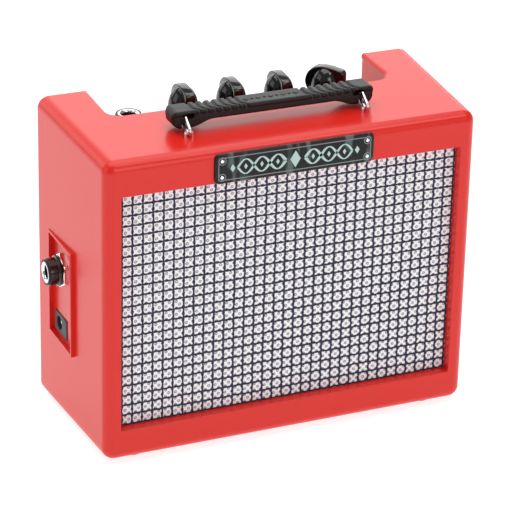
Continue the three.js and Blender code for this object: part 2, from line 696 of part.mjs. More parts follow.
// One loudspeaker, facing -Y, with its axis along Y.
function speaker(side, x) {
  const y = BAFFLE_BACK;
  const rim = SPEAKER_RADIUS;
  const basket = turned("y", [
    [5.6, y + 12.6], [15.6, y + 12.6], [22.2, y + 1.2], [22.2, y], [rim, y], [rim, y + 1.2],
    [23.4, y + 1.2], [16.6, y + 13.8], [5.6, y + 13.8], [5.6, y + 12.6],
  ], 24);
  const windows = [45, 135].map((degrees) => {
    const slot = box([-7, y + 2.6, -30], [7, y + 11.6, 30]);
    return slot.rotate([0, degrees, 0]);
  });
  const magnet = turned("y", [
    [0, y + 12.4], [4.1, y + 12.4], [4.1, y + 20.5], [5.6, y + 20.5], [5.6, y + 14.1], [16, y + 14.1],
    [16, y + 23.4], [14, y + 24.4], [0, y + 24.4],
  ], 20);
  const cone = turned("y", [
    [4.5, y + 7.9], [7.6, y + 7.9], [19.4, y + 1.4], [19.6, y + 2], [8, y + 8.6], [5, y + 8.6],
    [5, y + 17.5], [4.5, y + 17.5], [4.5, y + 7.9],
  ], 20);
  const cap = turned("y", [
    [0, y + 4.8], [3, y + 5.2], [5.6, y + 6.4], [7, y + 7.5], [6.4, y + 7.6], [0, y + 7.6],
  ], 20);
  const roll = turned("y", [
    [19.95, y + 0.9], [20.9, y - 0.5], [21.9, y + 0.9], [20.9, y + 0.2], [19.95, y + 0.9],
  ], 24);
  const group = new THREE.Group();
  group.position.set(x, 0, SPEAKER_Z);
  group.add(
    part(`speaker_frame_${side}`, cut(basket, ...windows), STEEL),
    part(`speaker_magnet_${side}`, magnet, FERRITE),
    part(`speaker_cone_${side}`, cone, PAPER),
    part(`dust_cap_${side}`, cap, PAPER),
    part(`speaker_surround_${side}`, roll, RUBBER),
  );
  return group;
}

// ---------------------------------------------------------------- assembly

const amplifier = new THREE.Group();
amplifier.add(
  part("cabinet_shell", cabinetShell(), RED),
  part("back_panel", backPanel(), RED),
  part("battery_door", batteryDoor(), RED),
  part("battery_tray", batteryTray(), MATT_BLACK),
  part("battery", batteryCell(), BATTERY),
  part("battery_snap", batterySnap(), RUBBER),
  part("grille_cloth", grilleSheet(FRONT_WALL, CLOTH_BACK), CLOTH),
  part("grille_baffle", grilleBaffle(), MATT_BLACK),
  part("badge", badgePlate(), BADGE_BLACK),
  part("handle_grip", handleGrip().translate([HANDLE_X, 0, 0]), GRIP_BLACK),
  part("handle_link_left", handleLink(HANDLE_X - EYE_X), CHROME),
  part("handle_link_right", handleLink(HANDLE_X + EYE_X), CHROME),
  part("handle_eye_left", handleEye(HANDLE_X - EYE_X), CHROME),
  part("handle_eye_right", handleEye(HANDLE_X + EYE_X), CHROME),
  part("control_panel", controlPanel(), CHROME),
  part("power_led", powerLed(), LED_RED),
  part("power_socket", powerSocket(), MATT_BLACK),
  ...electronics(),
  speaker("left", -SPEAKER_X),
  speaker("right", SPEAKER_X),
  ...KNOB_XS.map((x, i) => control(KNOB_NAMES[i], x, KNOB_NAMES[i] === "power" ? POWER_TURN : 0)),
);

const inputJack = jackSocket("input_jack", RECESS_FLOOR - RECESS_SKIN - PANEL_TOP);
inputJack.position.set(INPUT_X, CONTROLS_Y, PANEL_TOP);
const phonesJack = jackSocket("phones_jack", POCKET_FLOOR_X - POCKET_BACK_X);
phonesJack.position.set(POCKET_FLOOR_X, PHONES_Y, PHONES_Z);
phonesJack.rotation.y = -Math.PI / 2;
amplifier.add(inputJack, phonesJack);

for (const [end, z] of [["lower", SCREW_ZS[0]], ["upper", SCREW_ZS[1]]])
  for (const [side, x] of [["left", -SCREW_X], ["right", SCREW_X]]) {
    const screw = part(`cover_screw_${end}_${side}`, coverScrew(), STEEL);
    screw.position.set(x, 0, z);
    amplifier.add(screw);
  }

for (const [end, y] of [["front", FOOT.y[0]], ["rear", FOOT.y[1]]])
  for (const [side, x] of [["left", -FOOT.x], ["right", FOOT.x]]) {
    const pad = rod("z", [x, y, 0], FOOT.radius, FOOT.bottom, bottomAt(y + FOOT.radius), 20);
    amplifier.add(part(`foot_${end}_${side}`, pad, RUBBER));
  }

// Bottom centre of the bounding box: from the phones socket's mouth to the widest point of the
// cabinet's back, and from the badge to the back edge.
const leftmost = POCKET_FLOOR_X - JACK.tip;
const rightmost = halfWidthAt(DEPTH - BACK_EDGE);
const centreX = (leftmost + rightmost) / 2;
const centreY = (DEPTH - BADGE.thickness) / 2;
amplifier.position.set(-centreX, -centreY, -FOOT.bottom);

export default amplifier;
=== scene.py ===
"""Looks for a small red guitar practice amplifier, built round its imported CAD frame.

Places are written in millimetres in the cabinet's own frame: X to the right of the grille's middle,
Y back from the front face and Z up from the underside. at() turns them into the row frame.
"""

import json
import math

import bmesh
import bpy
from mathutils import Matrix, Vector


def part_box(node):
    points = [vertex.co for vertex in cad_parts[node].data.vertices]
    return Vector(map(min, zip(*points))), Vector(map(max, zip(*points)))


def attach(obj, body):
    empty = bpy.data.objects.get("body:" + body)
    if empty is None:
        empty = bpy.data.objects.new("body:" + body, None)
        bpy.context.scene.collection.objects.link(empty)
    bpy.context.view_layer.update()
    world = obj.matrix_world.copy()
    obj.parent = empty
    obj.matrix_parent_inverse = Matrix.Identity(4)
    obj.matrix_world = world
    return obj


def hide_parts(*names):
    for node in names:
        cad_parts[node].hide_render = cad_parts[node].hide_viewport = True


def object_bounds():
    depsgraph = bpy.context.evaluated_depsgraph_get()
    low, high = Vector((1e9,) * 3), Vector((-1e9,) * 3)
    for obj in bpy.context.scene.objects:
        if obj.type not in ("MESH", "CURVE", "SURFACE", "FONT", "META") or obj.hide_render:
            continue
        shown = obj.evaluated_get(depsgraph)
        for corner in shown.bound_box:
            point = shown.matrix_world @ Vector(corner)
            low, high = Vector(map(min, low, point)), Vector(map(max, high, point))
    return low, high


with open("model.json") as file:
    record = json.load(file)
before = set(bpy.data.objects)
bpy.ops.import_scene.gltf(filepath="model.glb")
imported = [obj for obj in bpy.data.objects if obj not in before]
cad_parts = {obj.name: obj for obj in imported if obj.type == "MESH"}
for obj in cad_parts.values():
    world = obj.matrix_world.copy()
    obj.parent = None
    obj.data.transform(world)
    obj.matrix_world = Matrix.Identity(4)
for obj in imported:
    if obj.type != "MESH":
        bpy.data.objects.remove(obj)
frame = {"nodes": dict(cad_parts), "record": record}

CAD_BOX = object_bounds()
MM = 0.001
KNOBS = ("gain", "volume", "tone", "power")


# ---------------------------------------------------------------- places taken from the frame

SHELL_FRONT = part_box("cabinet_shell")[0].y
CLOTH_LOW, CLOTH_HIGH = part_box("grille_cloth")
FOOT_BOTTOM = -2.0
FLOOR_Z = CAD_BOX[0].z
ORIGIN = Vector(((CLOTH_LOW.x + CLOTH_HIGH.x) / 2, SHELL_FRONT, FLOOR_Z - FOOT_BOTTOM * MM))


def at(x, y, z):
    """A place in millimetres in the cabinet's frame, as a point of the row frame in metres."""
    return ORIGIN + Vector((x, y, z)) * MM


def inside(node):
    """A node's lowest and highest corners, in millimetres in the cabinet's frame."""
    low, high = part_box(node)
    return (low - ORIGIN) / MM, (high - ORIGIN) / MM


def centre_of(node):
    low, high = inside(node)
    return (low + high) / 2


# ---------------------------------------------------------------- camera

# The camera stands to the left of the front and above it.
CAMERA_PLACE = (-444.84, -968.07, 582.3)
CAMERA_YAW = math.radians(-23.823)
CAMERA_PITCH = math.radians(25.041)
CAMERA_ROLL = math.radians(1.368)
SENSOR = 36.0
LENS = 5.3331640625 * SENSOR


def add_camera():
    yaw, pitch, roll = CAMERA_YAW, CAMERA_PITCH, CAMERA_ROLL
    forward = Vector((-math.sin(yaw) * math.cos(pitch), math.cos(yaw) * math.cos(pitch), -math.sin(pitch)))
    right = forward.cross(Vector((0, 0, 1))).normalized()
    up = right.cross(forward)
    turned_right = right * math.cos(roll) + up * math.sin(roll)
    turned_up = up * math.cos(roll) - right * math.sin(roll)
    camera = bpy.data.objects.new("camera", bpy.data.cameras.new("camera"))
    bpy.context.scene.collection.objects.link(camera)
    camera.data.sensor_width = SENSOR
    camera.data.lens = LENS
    camera.data.clip_start = 0.05
    camera.data.clip_end = 20
    matrix = camera.matrix_world.to_3x3()
    matrix.col[0], matrix.col[1], matrix.col[2] = turned_right, turned_up, -forward
    camera.matrix_world = matrix.to_4x4()
    camera.location = at(*CAMERA_PLACE)
    bpy.context.scene.camera = camera


add_camera()


# ---------------------------------------------------------------- node helpers

class Nodes:
    """A material's node tree, with short ways to add nodes and link them."""

    def __init__(self, name):
        self.material = bpy.data.materials.new(name)
        self.material.use_nodes = True
        self.tree = self.material.node_tree
        self.shader = self.tree.nodes["Principled BSDF"]

    def put(self, target, value):
        if isinstance(value, bpy.types.NodeSocket):
            self.tree.links.new(value, target)
        else:
            target.default_value = value

    def add(self, kind, **inputs):
        node = self.tree.nodes.new(kind)
        for key, value in inputs.items():
            self.put(node.inputs[key.replace("_", " ")], value)
        return node

    def math(self, operation, a, b=0.0, c=0.0):
        node = self.tree.nodes.new("ShaderNodeMath")
        node.operation = operation
        for socket, value in zip(node.inputs, (a, b, c)):
            self.put(socket, value)
        return node.outputs[0]

    def place(self):
        return self.add("ShaderNodeTexCoord").outputs["Object"]

    def noise(self, scale, detail=2.0, roughness=0.5, vector=None):
        vector = vector or self.place()
        node = self.add("ShaderNodeTexNoise", Scale=scale, Detail=detail, Roughness=roughness,
                        Vector=vector)
        return node.outputs["Fac"]

    def spread(self, value, low, high, from_low=0.0, from_high=1.0):
        """A value's range from from_low to from_high, spread over low to high."""
        node = self.add("ShaderNodeMapRange", From_Min=from_low, From_Max=from_high,
                        To_Min=low, To_Max=high, Value=value)
        return node.outputs["Result"]

    def blend(self, factor, first, second):
        node = self.tree.nodes.new("ShaderNodeMix")
        node.data_type = "RGBA"
        self.put(node.inputs["Factor"], factor)
        self.put(node.inputs["A"], first)
        self.put(node.inputs["B"], second)
        return node.outputs["Result"]

    def bump(self, height, strength, distance):
        node = self.add("ShaderNodeBump", Height=height, Strength=strength, Distance=distance)
        return node.outputs["Normal"]

    def set(self, **inputs):
        for key, value in inputs.items():
            self.put(self.shader.inputs[key.replace("_", " ")], value)
        return self.material


def shade(color, factor):
    """A colour with its three channels multiplied by factor."""
    return tuple(min(1.0, c * factor) for c in color[:3]) + (1.0,)


GRAIN_HEIGHT = 0.00004
BRUSH_HEIGHT = 0.00002


def moulded(name, color, roughness, grain=0.5, grain_size=0.35, coat=0.0, spread=0.06, tint=0.05,
            shine=0.5):
    """A moulded surface with a grain of grain_size millimetres and slightly uneven gloss and colour."""
    n = Nodes(name)
    large = n.noise(18.0, 3.0)
    fine = n.noise(1000 / grain_size, 2.0, 0.6)
    color_node = n.blend(large, shade(color, 1 - tint), shade(color, 1 + tint))
    uneven = n.spread(n.noise(160.0, 4.0, 0.6), roughness - spread, roughness + spread, 0.25, 0.75)
    n.set(Base_Color=color_node, Roughness=uneven, Normal=n.bump(fine, grain, GRAIN_HEIGHT))
    n.set(Coat_Weight=coat, Coat_Roughness=0.06, Specular_IOR_Level=shine)
    return n.material


def metal(name, color, roughness, brushed=0.0, axis=0):
    """Plated or bare metal, with fine lines along one axis if it is brushed."""
    n = Nodes(name)
    vector = n.place()
    if brushed:
        mapping = n.add("ShaderNodeMapping", Vector=vector)
        scale = [9000.0, 9000.0, 9000.0]
        scale[axis] = 60.0
        mapping.inputs["Scale"].default_value = scale
        vector = mapping.outputs["Vector"]
        lines = n.noise(1.0, 2.0, 0.5, vector)
        n.set(Normal=n.bump(lines, brushed, BRUSH_HEIGHT))
    smudge = n.noise(220.0, 3.0)
    n.set(Base_Color=n.blend(smudge, shade(color, 0.94), shade(color, 1.04)), Metallic=1.0)
    n.set(Roughness=n.spread(smudge, roughness * 0.75, roughness * 1.3, 0.3, 0.7))
    return n.material


RED_COLOR = (0.72, 0.017, 0.01)
RED = moulded("red_satin", RED_COLOR, 0.26, grain=0.05, grain_size=4.0, spread=0.01, tint=0.02,
              shine=0.4)
GRIP_BLACK = moulded("grip_satin", (0.008, 0.007, 0.0075), 0.4, grain=0.35, grain_size=0.4, tint=0.2,
                     shine=0.3)
GLOSS_BLACK = moulded("gloss_black", (0.004, 0.004, 0.004), 0.1, grain=0.03, coat=0.25, spread=0.03,
                      tint=0.2)
MATT_BLACK = moulded("matt_black", (0.012, 0.012, 0.013), 0.5, grain=0.5, tint=0.2)
SOCKET_GREY = moulded("socket_grey", (0.035, 0.033, 0.034), 0.45, grain=0.5, tint=0.12)
RUBBER = moulded("rubber", (0.013, 0.013, 0.013), 0.75, grain=0.8, grain_size=0.5, tint=0.2)
CHROME = metal("chrome", (0.86, 0.86, 0.88), 0.07)
PANEL_PLATE = metal("panel_plate", (0.4, 0.4, 0.42), 0.3, brushed=0.35, axis=0)
STEEL = metal("steel", (0.5, 0.51, 0.52), 0.32, brushed=0.2, axis=2)
FERRITE = moulded("ferrite", (0.03, 0.03, 0.032), 0.6, grain=0.9, grain_size=0.6, tint=0.2)
CONE_PAPER = moulded("cone_paper", (0.016, 0.015, 0.014), 0.85, grain=1.0, grain_size=0.8, tint=0.3)
BOARD = moulded("board", (0.015, 0.11, 0.035), 0.35, grain=0.3, tint=0.15, coat=0.3)
SLEEVE = moulded("capacitor_sleeve", (0.02, 0.035, 0.09), 0.3, grain=0.1)
BATTERY_CASE = moulded("battery_case", (0.03, 0.032, 0.036), 0.28, grain=0.1, coat=0.3)
PRINT_BLACK = moulded("print_black", (0.008, 0.008, 0.008), 0.4, grain=0.2)
DULL_SILVER = moulded("print_silver", (0.2, 0.235, 0.225), 0.35, grain=0.1)
PALE_TEAL = moulded("print_teal", (0.46, 0.62, 0.58), 0.38, grain=0.2, tint=0.12)


def led_material():
    n = Nodes("led_red")
    glow = n.spread(n.noise(600.0), 0.1, 0.2)
    return n.set(Base_Color=(0.5, 0.008, 0.006, 1), Roughness=glow, Transmission_Weight=0.35, IOR=1.5)


LED_RED = led_material()


# ---------------------------------------------------------------- mesh helpers

MERGE_DISTANCE = 1e-7


def mesh_object(name, vertices, faces):
    """An object from points in the cabinet's frame, its doubled points merged and its normals outward."""
    mesh = bpy.data.meshes.new(name)
    mesh.from_pydata([at(*v) for v in vertices], [], faces)
    made = bmesh.new()
    made.from_mesh(mesh)
    bmesh.ops.remove_doubles(made, verts=made.verts, dist=MERGE_DISTANCE)
    bmesh.ops.recalc_face_normals(made, faces=made.faces)
    made.to_mesh(mesh)
    made.free()
    thing = bpy.data.objects.new(name, mesh)
    bpy.context.scene.collection.objects.link(thing)
    return thing


def piece(name, vertices, faces, material, body="cabinet", slot=None, replaces=(), angle=35):
    """A visible piece from points in the cabinet's frame."""
    return settle(mesh_object(name, vertices, faces), material, body, replaces, angle)


def settle(thing, material, body="cabinet", replaces=(), angle=35):
    """Gives a piece its material and body, and makes it smooth across edges gentler than angle."""
    thing.data.materials.clear()
    thing.data.materials.append(material)
    thing.data.shade_smooth()
    thing.data.set_sharp_from_angle(angle=math.radians(angle))
    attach(thing, body)
    if replaces:
        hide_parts(*replaces)
    return thing


def joined(*meshes):
    """Several (vertices, faces) pairs as one."""
    vertices, faces = [], []
    for more, its_faces in meshes:
        start = len(vertices)
        vertices += list(more)
        faces += [tuple(i + start for i in face) for face in its_faces]
    return vertices, faces


def loft(rings, loop=False, caps=True):
    """Quads through rings of equally many points, with flat ends unless it is a loop."""
    count = len(rings[0])
    vertices = [tuple(p) for ring in rings for p in ring]
    faces = []
    for i in range(len(rings) - (0 if loop else 1)):
        j = (i + 1) % len(rings)
        for k in range(count):
            m = (k + 1) % count
            faces.append((i * count + k, i * count + m, j * count + m, j * count + k))
    if caps and not loop:
        faces.append(tuple(reversed(range(count))))
        faces.append(tuple((len(rings) - 1) * count + k for k in range(count)))
    return vertices, faces


AXES = {"x": (1, 2, 0), "y": (2, 0, 1), "z": (0, 1, 2)}


def along(axis, centre, across, up, height):
    """The point (across, up, height), where height runs along axis, moved to centre."""
    point = [0.0, 0.0, 0.0]
    for place, value in zip(AXES[axis], (across, up, height)):
        point[place] = value
    return tuple(p + c for p, c in zip(point, centre))


def lathe(axis, centre, profile, sides=64):
    """A profile of (radius, height) pairs turned about an axis.

    The profile starts and ends on the axis, or ends where it starts.
    """
    rings = []
    for radius, height in profile:
        ring = []
        for k in range(sides):
            a = 2 * math.pi * k / sides
            ring.append(along(axis, centre, radius * math.cos(a), radius * math.sin(a), height))
        rings.append(ring)
    return loft(rings, caps=False)


def drill(axis, centre, radius, low, high, sides=32):
    """A cylinder from low to high along an axis."""
    return lathe(axis, centre, [(0, low), (radius, low), (radius, high), (0, high)], sides)


def corner_curve(before, here, after, radius, share, steps):
    """Points that round off the corner at here, using at most a share of the edges beside it."""
    before, here, after = Vector(before), Vector(here), Vector(after)
    size = min(radius, (before - here).length * share, (after - here).length * share)
    start = here + (before - here).normalized() * size
    end = here + (after - here).normalized() * size
    points = []
    for i in range(steps + 1):
        t = i / steps
        points.append(start * (1 - t) ** 2 + here * 2 * t * (1 - t) + end * t * t)
    return points


def rounded(profile, radius, steps=4):
    """A profile of (radius, height) pairs with all corners but its two ends rounded off."""
    result = [profile[0]]
    for before, here, after in zip(profile, profile[1:], profile[2:]):
        result += [tuple(p) for p in corner_curve(before, here, after, radius, 0.45, steps)]
    result.append(profile[-1])
    return result


def arc(steps, end=90):
    """Pairs (1 - cos, 1 - sin) of angles that go evenly from 0 to end degrees."""
    angles = [math.radians(end) * i / steps for i in range(steps + 1)]
    return [(1 - math.cos(a), 1 - math.sin(a)) for a in angles]


def rounded_rectangle(x0, y0, x1, y1, radius, steps=8):
    """Points round a rectangle with round corners, anticlockwise from its lower right corner."""
    points = []
    for cx, cy, start in (
        (x1 - radius, y0 + radius, -90), (x1 - radius, y1 - radius, 0),
        (x0 + radius, y1 - radius, 90), (x0 + radius, y0 + radius, 180),
    ):
        for i in range(steps + 1):
            a = math.radians(start + 90 * i / steps)
            points.append((cx + radius * math.cos(a), cy + radius * math.sin(a)))
    return points


def block(low, high, edge=0.4, steps=3):
    """A box between two corners with rounded edges."""
    (x0, y0, z0), (x1, y1, z1) = low, high

    def ring(inset, z):
        corner = max(edge - inset, 0.02)
        outline = rounded_rectangle(x0 + inset, y0 + inset, x1 - inset, y1 - inset, corner, steps)
        return [(x, y, z) for x, y in outline]

    rings = [ring(edge * more, z0 + edge * less) for less, more in arc(steps)]
    rings += [ring(edge * less, z1 - edge * more) for less, more in arc(steps)]
    return loft(rings)


def sweep(points, normal, radius, loop=False, sides=20):
    """A round wire along points that lie in a plane with the given normal."""
    points = [Vector(p) for p in points]
    normal = Vector(normal)
    rings = []
    for i, point in enumerate(points):
        before = points[i - 1] if loop or i else point
        after = points[(i + 1) % len(points)] if loop or i + 1 < len(points) else point
        across = (after - before).normalized().cross(normal)
        ring = []
        for k in range(sides):
            a = 2 * math.pi * k / sides
            ring.append(point + across * (radius * math.cos(a)) + normal * (radius * math.sin(a)))
        rings.append(ring)
    return loft(rings, loop=loop)


def temporary(mesh):
    """A working object from (vertices, faces), for a boolean."""
    return mesh_object("cutter", *mesh)


def combine(base, steps):
    """Runs a list of ("DIFFERENCE" or "UNION", mesh) steps on a working object, and returns it."""
    for operation, mesh in steps:
        tool = temporary(mesh)
        modifier = base.modifiers.new("boolean", "BOOLEAN")
        modifier.operation = operation
        modifier.solver = "EXACT"
        modifier.object = tool
        graph = bpy.context.evaluated_depsgraph_get()
        result = bpy.data.meshes.new_from_object(base.evaluated_get(graph))
        base.modifiers.clear()
        old = base.data
        base.data = result
        bpy.data.meshes.remove(old)
        bpy.data.objects.remove(tool)
    return base


def even_normals(thing):
    """Keeps large flat faces flat where they meet a fillet."""
    modifier = thing.modifiers.new("even_normals", "WEIGHTED_NORMAL")
    modifier.mode = "FACE_AREA"
    modifier.keep_sharp = True
    return thing


# ---------------------------------------------------------------- cabinet

FRONT_WIDTH = 172.0
FRONT_HEIGHT = 139.8
DEPTH = 76.3
SIDE_DRAFT = 3.3
TOP_DRAFT = 2.8
BOTTOM_DRAFT = 1.0
WALL = 2.6
FRONT_WALL = 4.7
EDGE_RADIUS = 4.7
CORNER_RADIUS = 5.2
BACK_EDGE = 1.2
OPENING = (-78.7, 14.5, 78.7, 124.3)
RECESS_HALF_WIDTH = 66.2
RECESS_FRONT = 46.5
RECESS_CORNER = 6.5
RECESS_SKIN = 2.5
PANEL_LOW, PANEL_HIGH = inside("control_panel")
RECESS_FLOOR = PANEL_LOW.z
PANEL_TOP = PANEL_HIGH.z
POCKET = (35.9, 36.6, 62.6, 83.9)
POCKET_RIM = 1.2
POCKET_RIM_X = -89.3
POCKET_FLOOR_X = -87.0
POCKET_BACK_X = -84.4
SOCKET_HOLE_HALF_Y = 7.6
SOCKET_HOLE_HALF_Z = 4.9
JACK_HOLE = 5.3
SHAFT_HOLE = 3.9
LED_HOLE = 1.9


def half_width_at(y):
    return FRONT_WIDTH / 2 + SIDE_DRAFT * y / DEPTH


def top_at(y):
    return FRONT_HEIGHT + TOP_DRAFT * y / DEPTH


def bottom_at(y):
    return -BOTTOM_DRAFT * y / DEPTH


def cabinet_ring(y, inset, steps=12):
    radius = CORNER_RADIUS - min(inset, EDGE_RADIUS)
    half = half_width_at(y) - inset
    outline = rounded_rectangle(-half, bottom_at(y) + inset, half, top_at(y) - inset, radius, steps)
    return [(x, y, z) for x, z in outline]


def cabinet_body():
    """The case without its openings: a large round at the front edge and a small one at the back."""
    rings = [cabinet_ring(EDGE_RADIUS * less, EDGE_RADIUS * more) for less, more in arc(12)]
    rings += [cabinet_ring(DEPTH - BACK_EDGE * more, BACK_EDGE * 0.8 * less) for less, more in arc(4)]
    return loft(rings)


def recess_outline(margin, back):
    """The control recess in plan, open past the back."""
    x, y = RECESS_HALF_WIDTH + margin, RECESS_FRONT - margin
    radius = RECESS_CORNER + margin
    points = [(-x, back)]
    for cx, start in ((-x + radius, 180), (x - radius, 270)):
        for i in range(15):
            a = math.radians(start + 90 * i / 14)
            points.append((cx + radius * math.cos(a), y + radius + radius * math.sin(a)))
    points.append((x, back))
    return points


def recess_cutter():
    """The recess with its top edge flared, so that the cabinet's top rolls over into it."""
    flare, foot, steps = 1.7, 0.8, 8
    back = DEPTH + 6
    rings = []
    for less, more in arc(steps):
        rings.append([(x, y, RECESS_FLOOR + foot * less) for x, y in recess_outline(-foot * more, back)])
    for less, more in arc(steps, 86):
        rim = recess_outline(flare * less, back)
        rings.append([(x, y, top_at(y) - flare * more) for x, y in rim])
    rings.append([(x, y, top_at(y) + 5) for x, y in rim])
    return loft(rings)


def flared_opening(axis, outline, mouth, floor, flare, outwards):
    """A cutter from floor to past the mouth whose edge at the mouth is rounded by flare.

    outwards is the way the mouth faces along the axis.
    """
    levels = [(0, floor)]
    levels += [(flare * less, mouth - outwards * flare * more) for less, more in arc(5, 84)]
    levels.append((levels[-1][0], mouth + outwards * 4))
    return loft([[along(axis, (0, 0, 0), u, v, height) for u, v in outline(margin)]
                 for margin, height in levels])


def opening_outline(margin):
    x0, z0, x1, z1 = OPENING
    outline = rounded_rectangle(x0 - margin, z0 - margin, x1 + margin, z1 + margin, 0.35 + margin, 4)
    return [(z, x) for x, z in outline]


def pocket_outline(margin):
    y0, z0, y1, z1 = POCKET
    return rounded_rectangle(y0 - margin, z0 - margin, y1 + margin, z1 + margin, 0.3 + margin, 3)


def rim_body():
    y0, z0, y1, z1 = POCKET
    low = (POCKET_RIM_X, y0 - POCKET_RIM, z0 - POCKET_RIM)
    return block(low, (POCKET_BACK_X, y1 + POCKET_RIM, z1 + POCKET_RIM), edge=0.35)


def cabinet():
    cavity = loft([cabinet_ring(y, WALL, 4) for y in (FRONT_WALL, DEPTH + 3)])
    pan_low, pan_high = RECESS_FLOOR - RECESS_SKIN, FRONT_HEIGHT + 0.6
    pan = recess_outline(RECESS_SKIN, DEPTH - 0.9)
    pan = loft([[(x, y, z) for x, y in pan] for z in (pan_low, pan_high)])
    phones = centre_of("phones_jack_nut")
    power = centre_of("power_socket")
    hole_low = (POCKET_FLOOR_X - 1, power.y - SOCKET_HOLE_HALF_Y, power.z - SOCKET_HOLE_HALF_Z)
    hole_high = (POCKET_BACK_X + 1, power.y + SOCKET_HOLE_HALF_Y, power.z + SOCKET_HOLE_HALF_Z)
    steps = [
        ("DIFFERENCE", cavity),
        ("UNION", pan),
        ("UNION", rim_body()),
        ("DIFFERENCE", recess_cutter()),
        ("DIFFERENCE", flared_opening("y", opening_outline, 0.0, FRONT_WALL + 2, 0.5, -1)),
        ("DIFFERENCE", flared_opening("x", pocket_outline, POCKET_RIM_X, POCKET_FLOOR_X, 0.25, -1)),
        ("DIFFERENCE", drill("x", (0, phones.y, phones.z), JACK_HOLE,
                             POCKET_FLOOR_X - 1, POCKET_BACK_X + 1)),
        ("DIFFERENCE", block(hole_low, hole_high, edge=0.2)),
    ]
    panel_holes = [("input_jack_nut", JACK_HOLE), ("power_led", LED_HOLE)]
    panel_holes += [(f"{knob}_nut", SHAFT_HOLE) for knob in KNOBS]
    for node, radius in panel_holes:
        middle = centre_of(node)
        hole = drill("z", (middle.x, middle.y, 0), radius, pan_low - 1, RECESS_FLOOR + 1)
        steps.append(("DIFFERENCE", hole))
    body = combine(temporary(cabinet_body()), steps)
    body.name = "cabinet_moulding"
    settle(body, RED, "cabinet", ["cabinet_shell"], angle=40)
    return even_normals(body)


cabinet()


# ---------------------------------------------------------------- grille

GRID_PITCH = 4.7
GRID_FIRST_X = OPENING[0] + 1.9
GRID_FIRST_Z = OPENING[3] - 1.4
LINE_HALF_WIDTH = 0.53
DOT_PITCH = 2.2
DOT_RADIUS = 0.46
THREAD_PITCH = 0.55
WOBBLE = 0.0007
# Added to lengths in the weave so that they are never negative: this many whole repeats.
REPEATS = 200


def cloth_material():
    """Off-white woven cloth with small ringed holes and a dark woven grid."""
    n = Nodes("grille_cloth")
    wobble = n.add("ShaderNodeTexNoise", Scale=420.0, Detail=2.0, Vector=n.place())
    shift = n.add("ShaderNodeVectorMath", Vector=wobble.outputs["Color"])
    shift.operation = "MULTIPLY_ADD"
    shift.inputs[1].default_value = (WOBBLE, 0.0, WOBBLE)
    n.put(shift.inputs[2], n.place())
    split = n.add("ShaderNodeSeparateXYZ", Vector=shift.outputs[0])
    first = at(GRID_FIRST_X, 0, GRID_FIRST_Z)
    x = n.math("MULTIPLY", n.math("SUBTRACT", split.outputs["X"], first.x + WOBBLE / 2), 1000)
    z = n.math("MULTIPLY", n.math("SUBTRACT", split.outputs["Z"], first.z + WOBBLE / 2), 1000)
    edges = []
    for value in (x, z):
        edges.append(n.math("PINGPONG", n.math("ADD", value, REPEATS * GRID_PITCH), GRID_PITCH / 2))
    diagonals = []
    for operation in ("ADD", "SUBTRACT"):
        turned = n.math("MULTIPLY", n.math(operation, x, z), math.sqrt(0.5))
        diagonals.append(n.math("PINGPONG", n.math("ADD", turned, REPEATS * DOT_PITCH), DOT_PITCH / 2))
    squares = [n.math("POWER", d, 2.0) for d in diagonals]
    radius = n.math("SQRT", n.math("ADD", squares[0], squares[1]))
    hole = n.spread(n.math("ABSOLUTE", n.math("SUBTRACT", radius, DOT_RADIUS)), 1.0, 0.0, 0.06, 0.36)
    scallop = n.spread(radius, 0.26, -0.1, 0.25, 1.0)
    line_distance = n.math("SUBTRACT", n.math("MINIMUM", edges[0], edges[1]), scallop)
    line = n.spread(line_distance, 1.0, 0.0, LINE_HALF_WIDTH - 0.14, LINE_HALF_WIDTH + 0.14)
    threads = []
    for value in (x, z):
        threads.append(n.math("SINE", n.math("MULTIPLY", value, 2 * math.pi / THREAD_PITCH)))
    weave = n.math("MULTIPLY", threads[0], threads[1])
    white = n.blend(n.spread(weave, 0.0, 1.0, -1, 1), (0.86, 0.83, 0.86, 1), (0.98, 0.96, 0.98, 1))
    pierced = n.blend(n.math("MULTIPLY", hole, 0.85), white, (0.15, 0.145, 0.18, 1))
    color = n.blend(line, pierced, (0.014, 0.014, 0.045, 1))
    height = n.math("SUBTRACT", n.math("MULTIPLY", weave, 0.35), hole)
    n.set(Base_Color=color, Roughness=0.88, Normal=n.bump(height, 0.5, 0.00025), Sheen_Weight=0.15)
    return n.material


def from_grid(place, first):
    """How far a place is from the nearest line of the grid."""
    return abs((place - first + GRID_PITCH / 2) % GRID_PITCH - GRID_PITCH / 2)


def grille_cloth():
    """The stretched cloth, a little slack, with the threads of the grid standing out."""
    low, high = inside("grille_cloth")
    x0, x1, z0, z1 = low.x + 0.3, high.x - 0.3, low.z + 0.3, high.z - 0.3
    columns, rows = 300, 212
    vertices = []
    for j in range(rows + 1):
        z = z0 + (z1 - z0) * j / rows
        for i in range(columns + 1):
            x = x0 + (x1 - x0) * i / columns
            nearest = min(from_grid(x, GRID_FIRST_X), from_grid(z, GRID_FIRST_Z))
            thread = max(0.0, 1 - nearest / 0.7)
            slack = 0.05 * math.sin(x / 11.0) * math.sin(z / 9.0)
            y = low.y + 0.2 + slack - 0.05 * thread
            vertices.append((x, y, z))
    faces = []
    for j in range(rows):
        for i in range(columns):
            k = j * (columns + 1) + i
            faces.append((k, k + 1, k + columns + 2, k + columns + 1))
    cloth = piece("grille_weave", vertices, faces, cloth_material(), slot="grille_cloth",
                  replaces=["grille_cloth"], angle=180)


grille_cloth()


# ---------------------------------------------------------------- badge

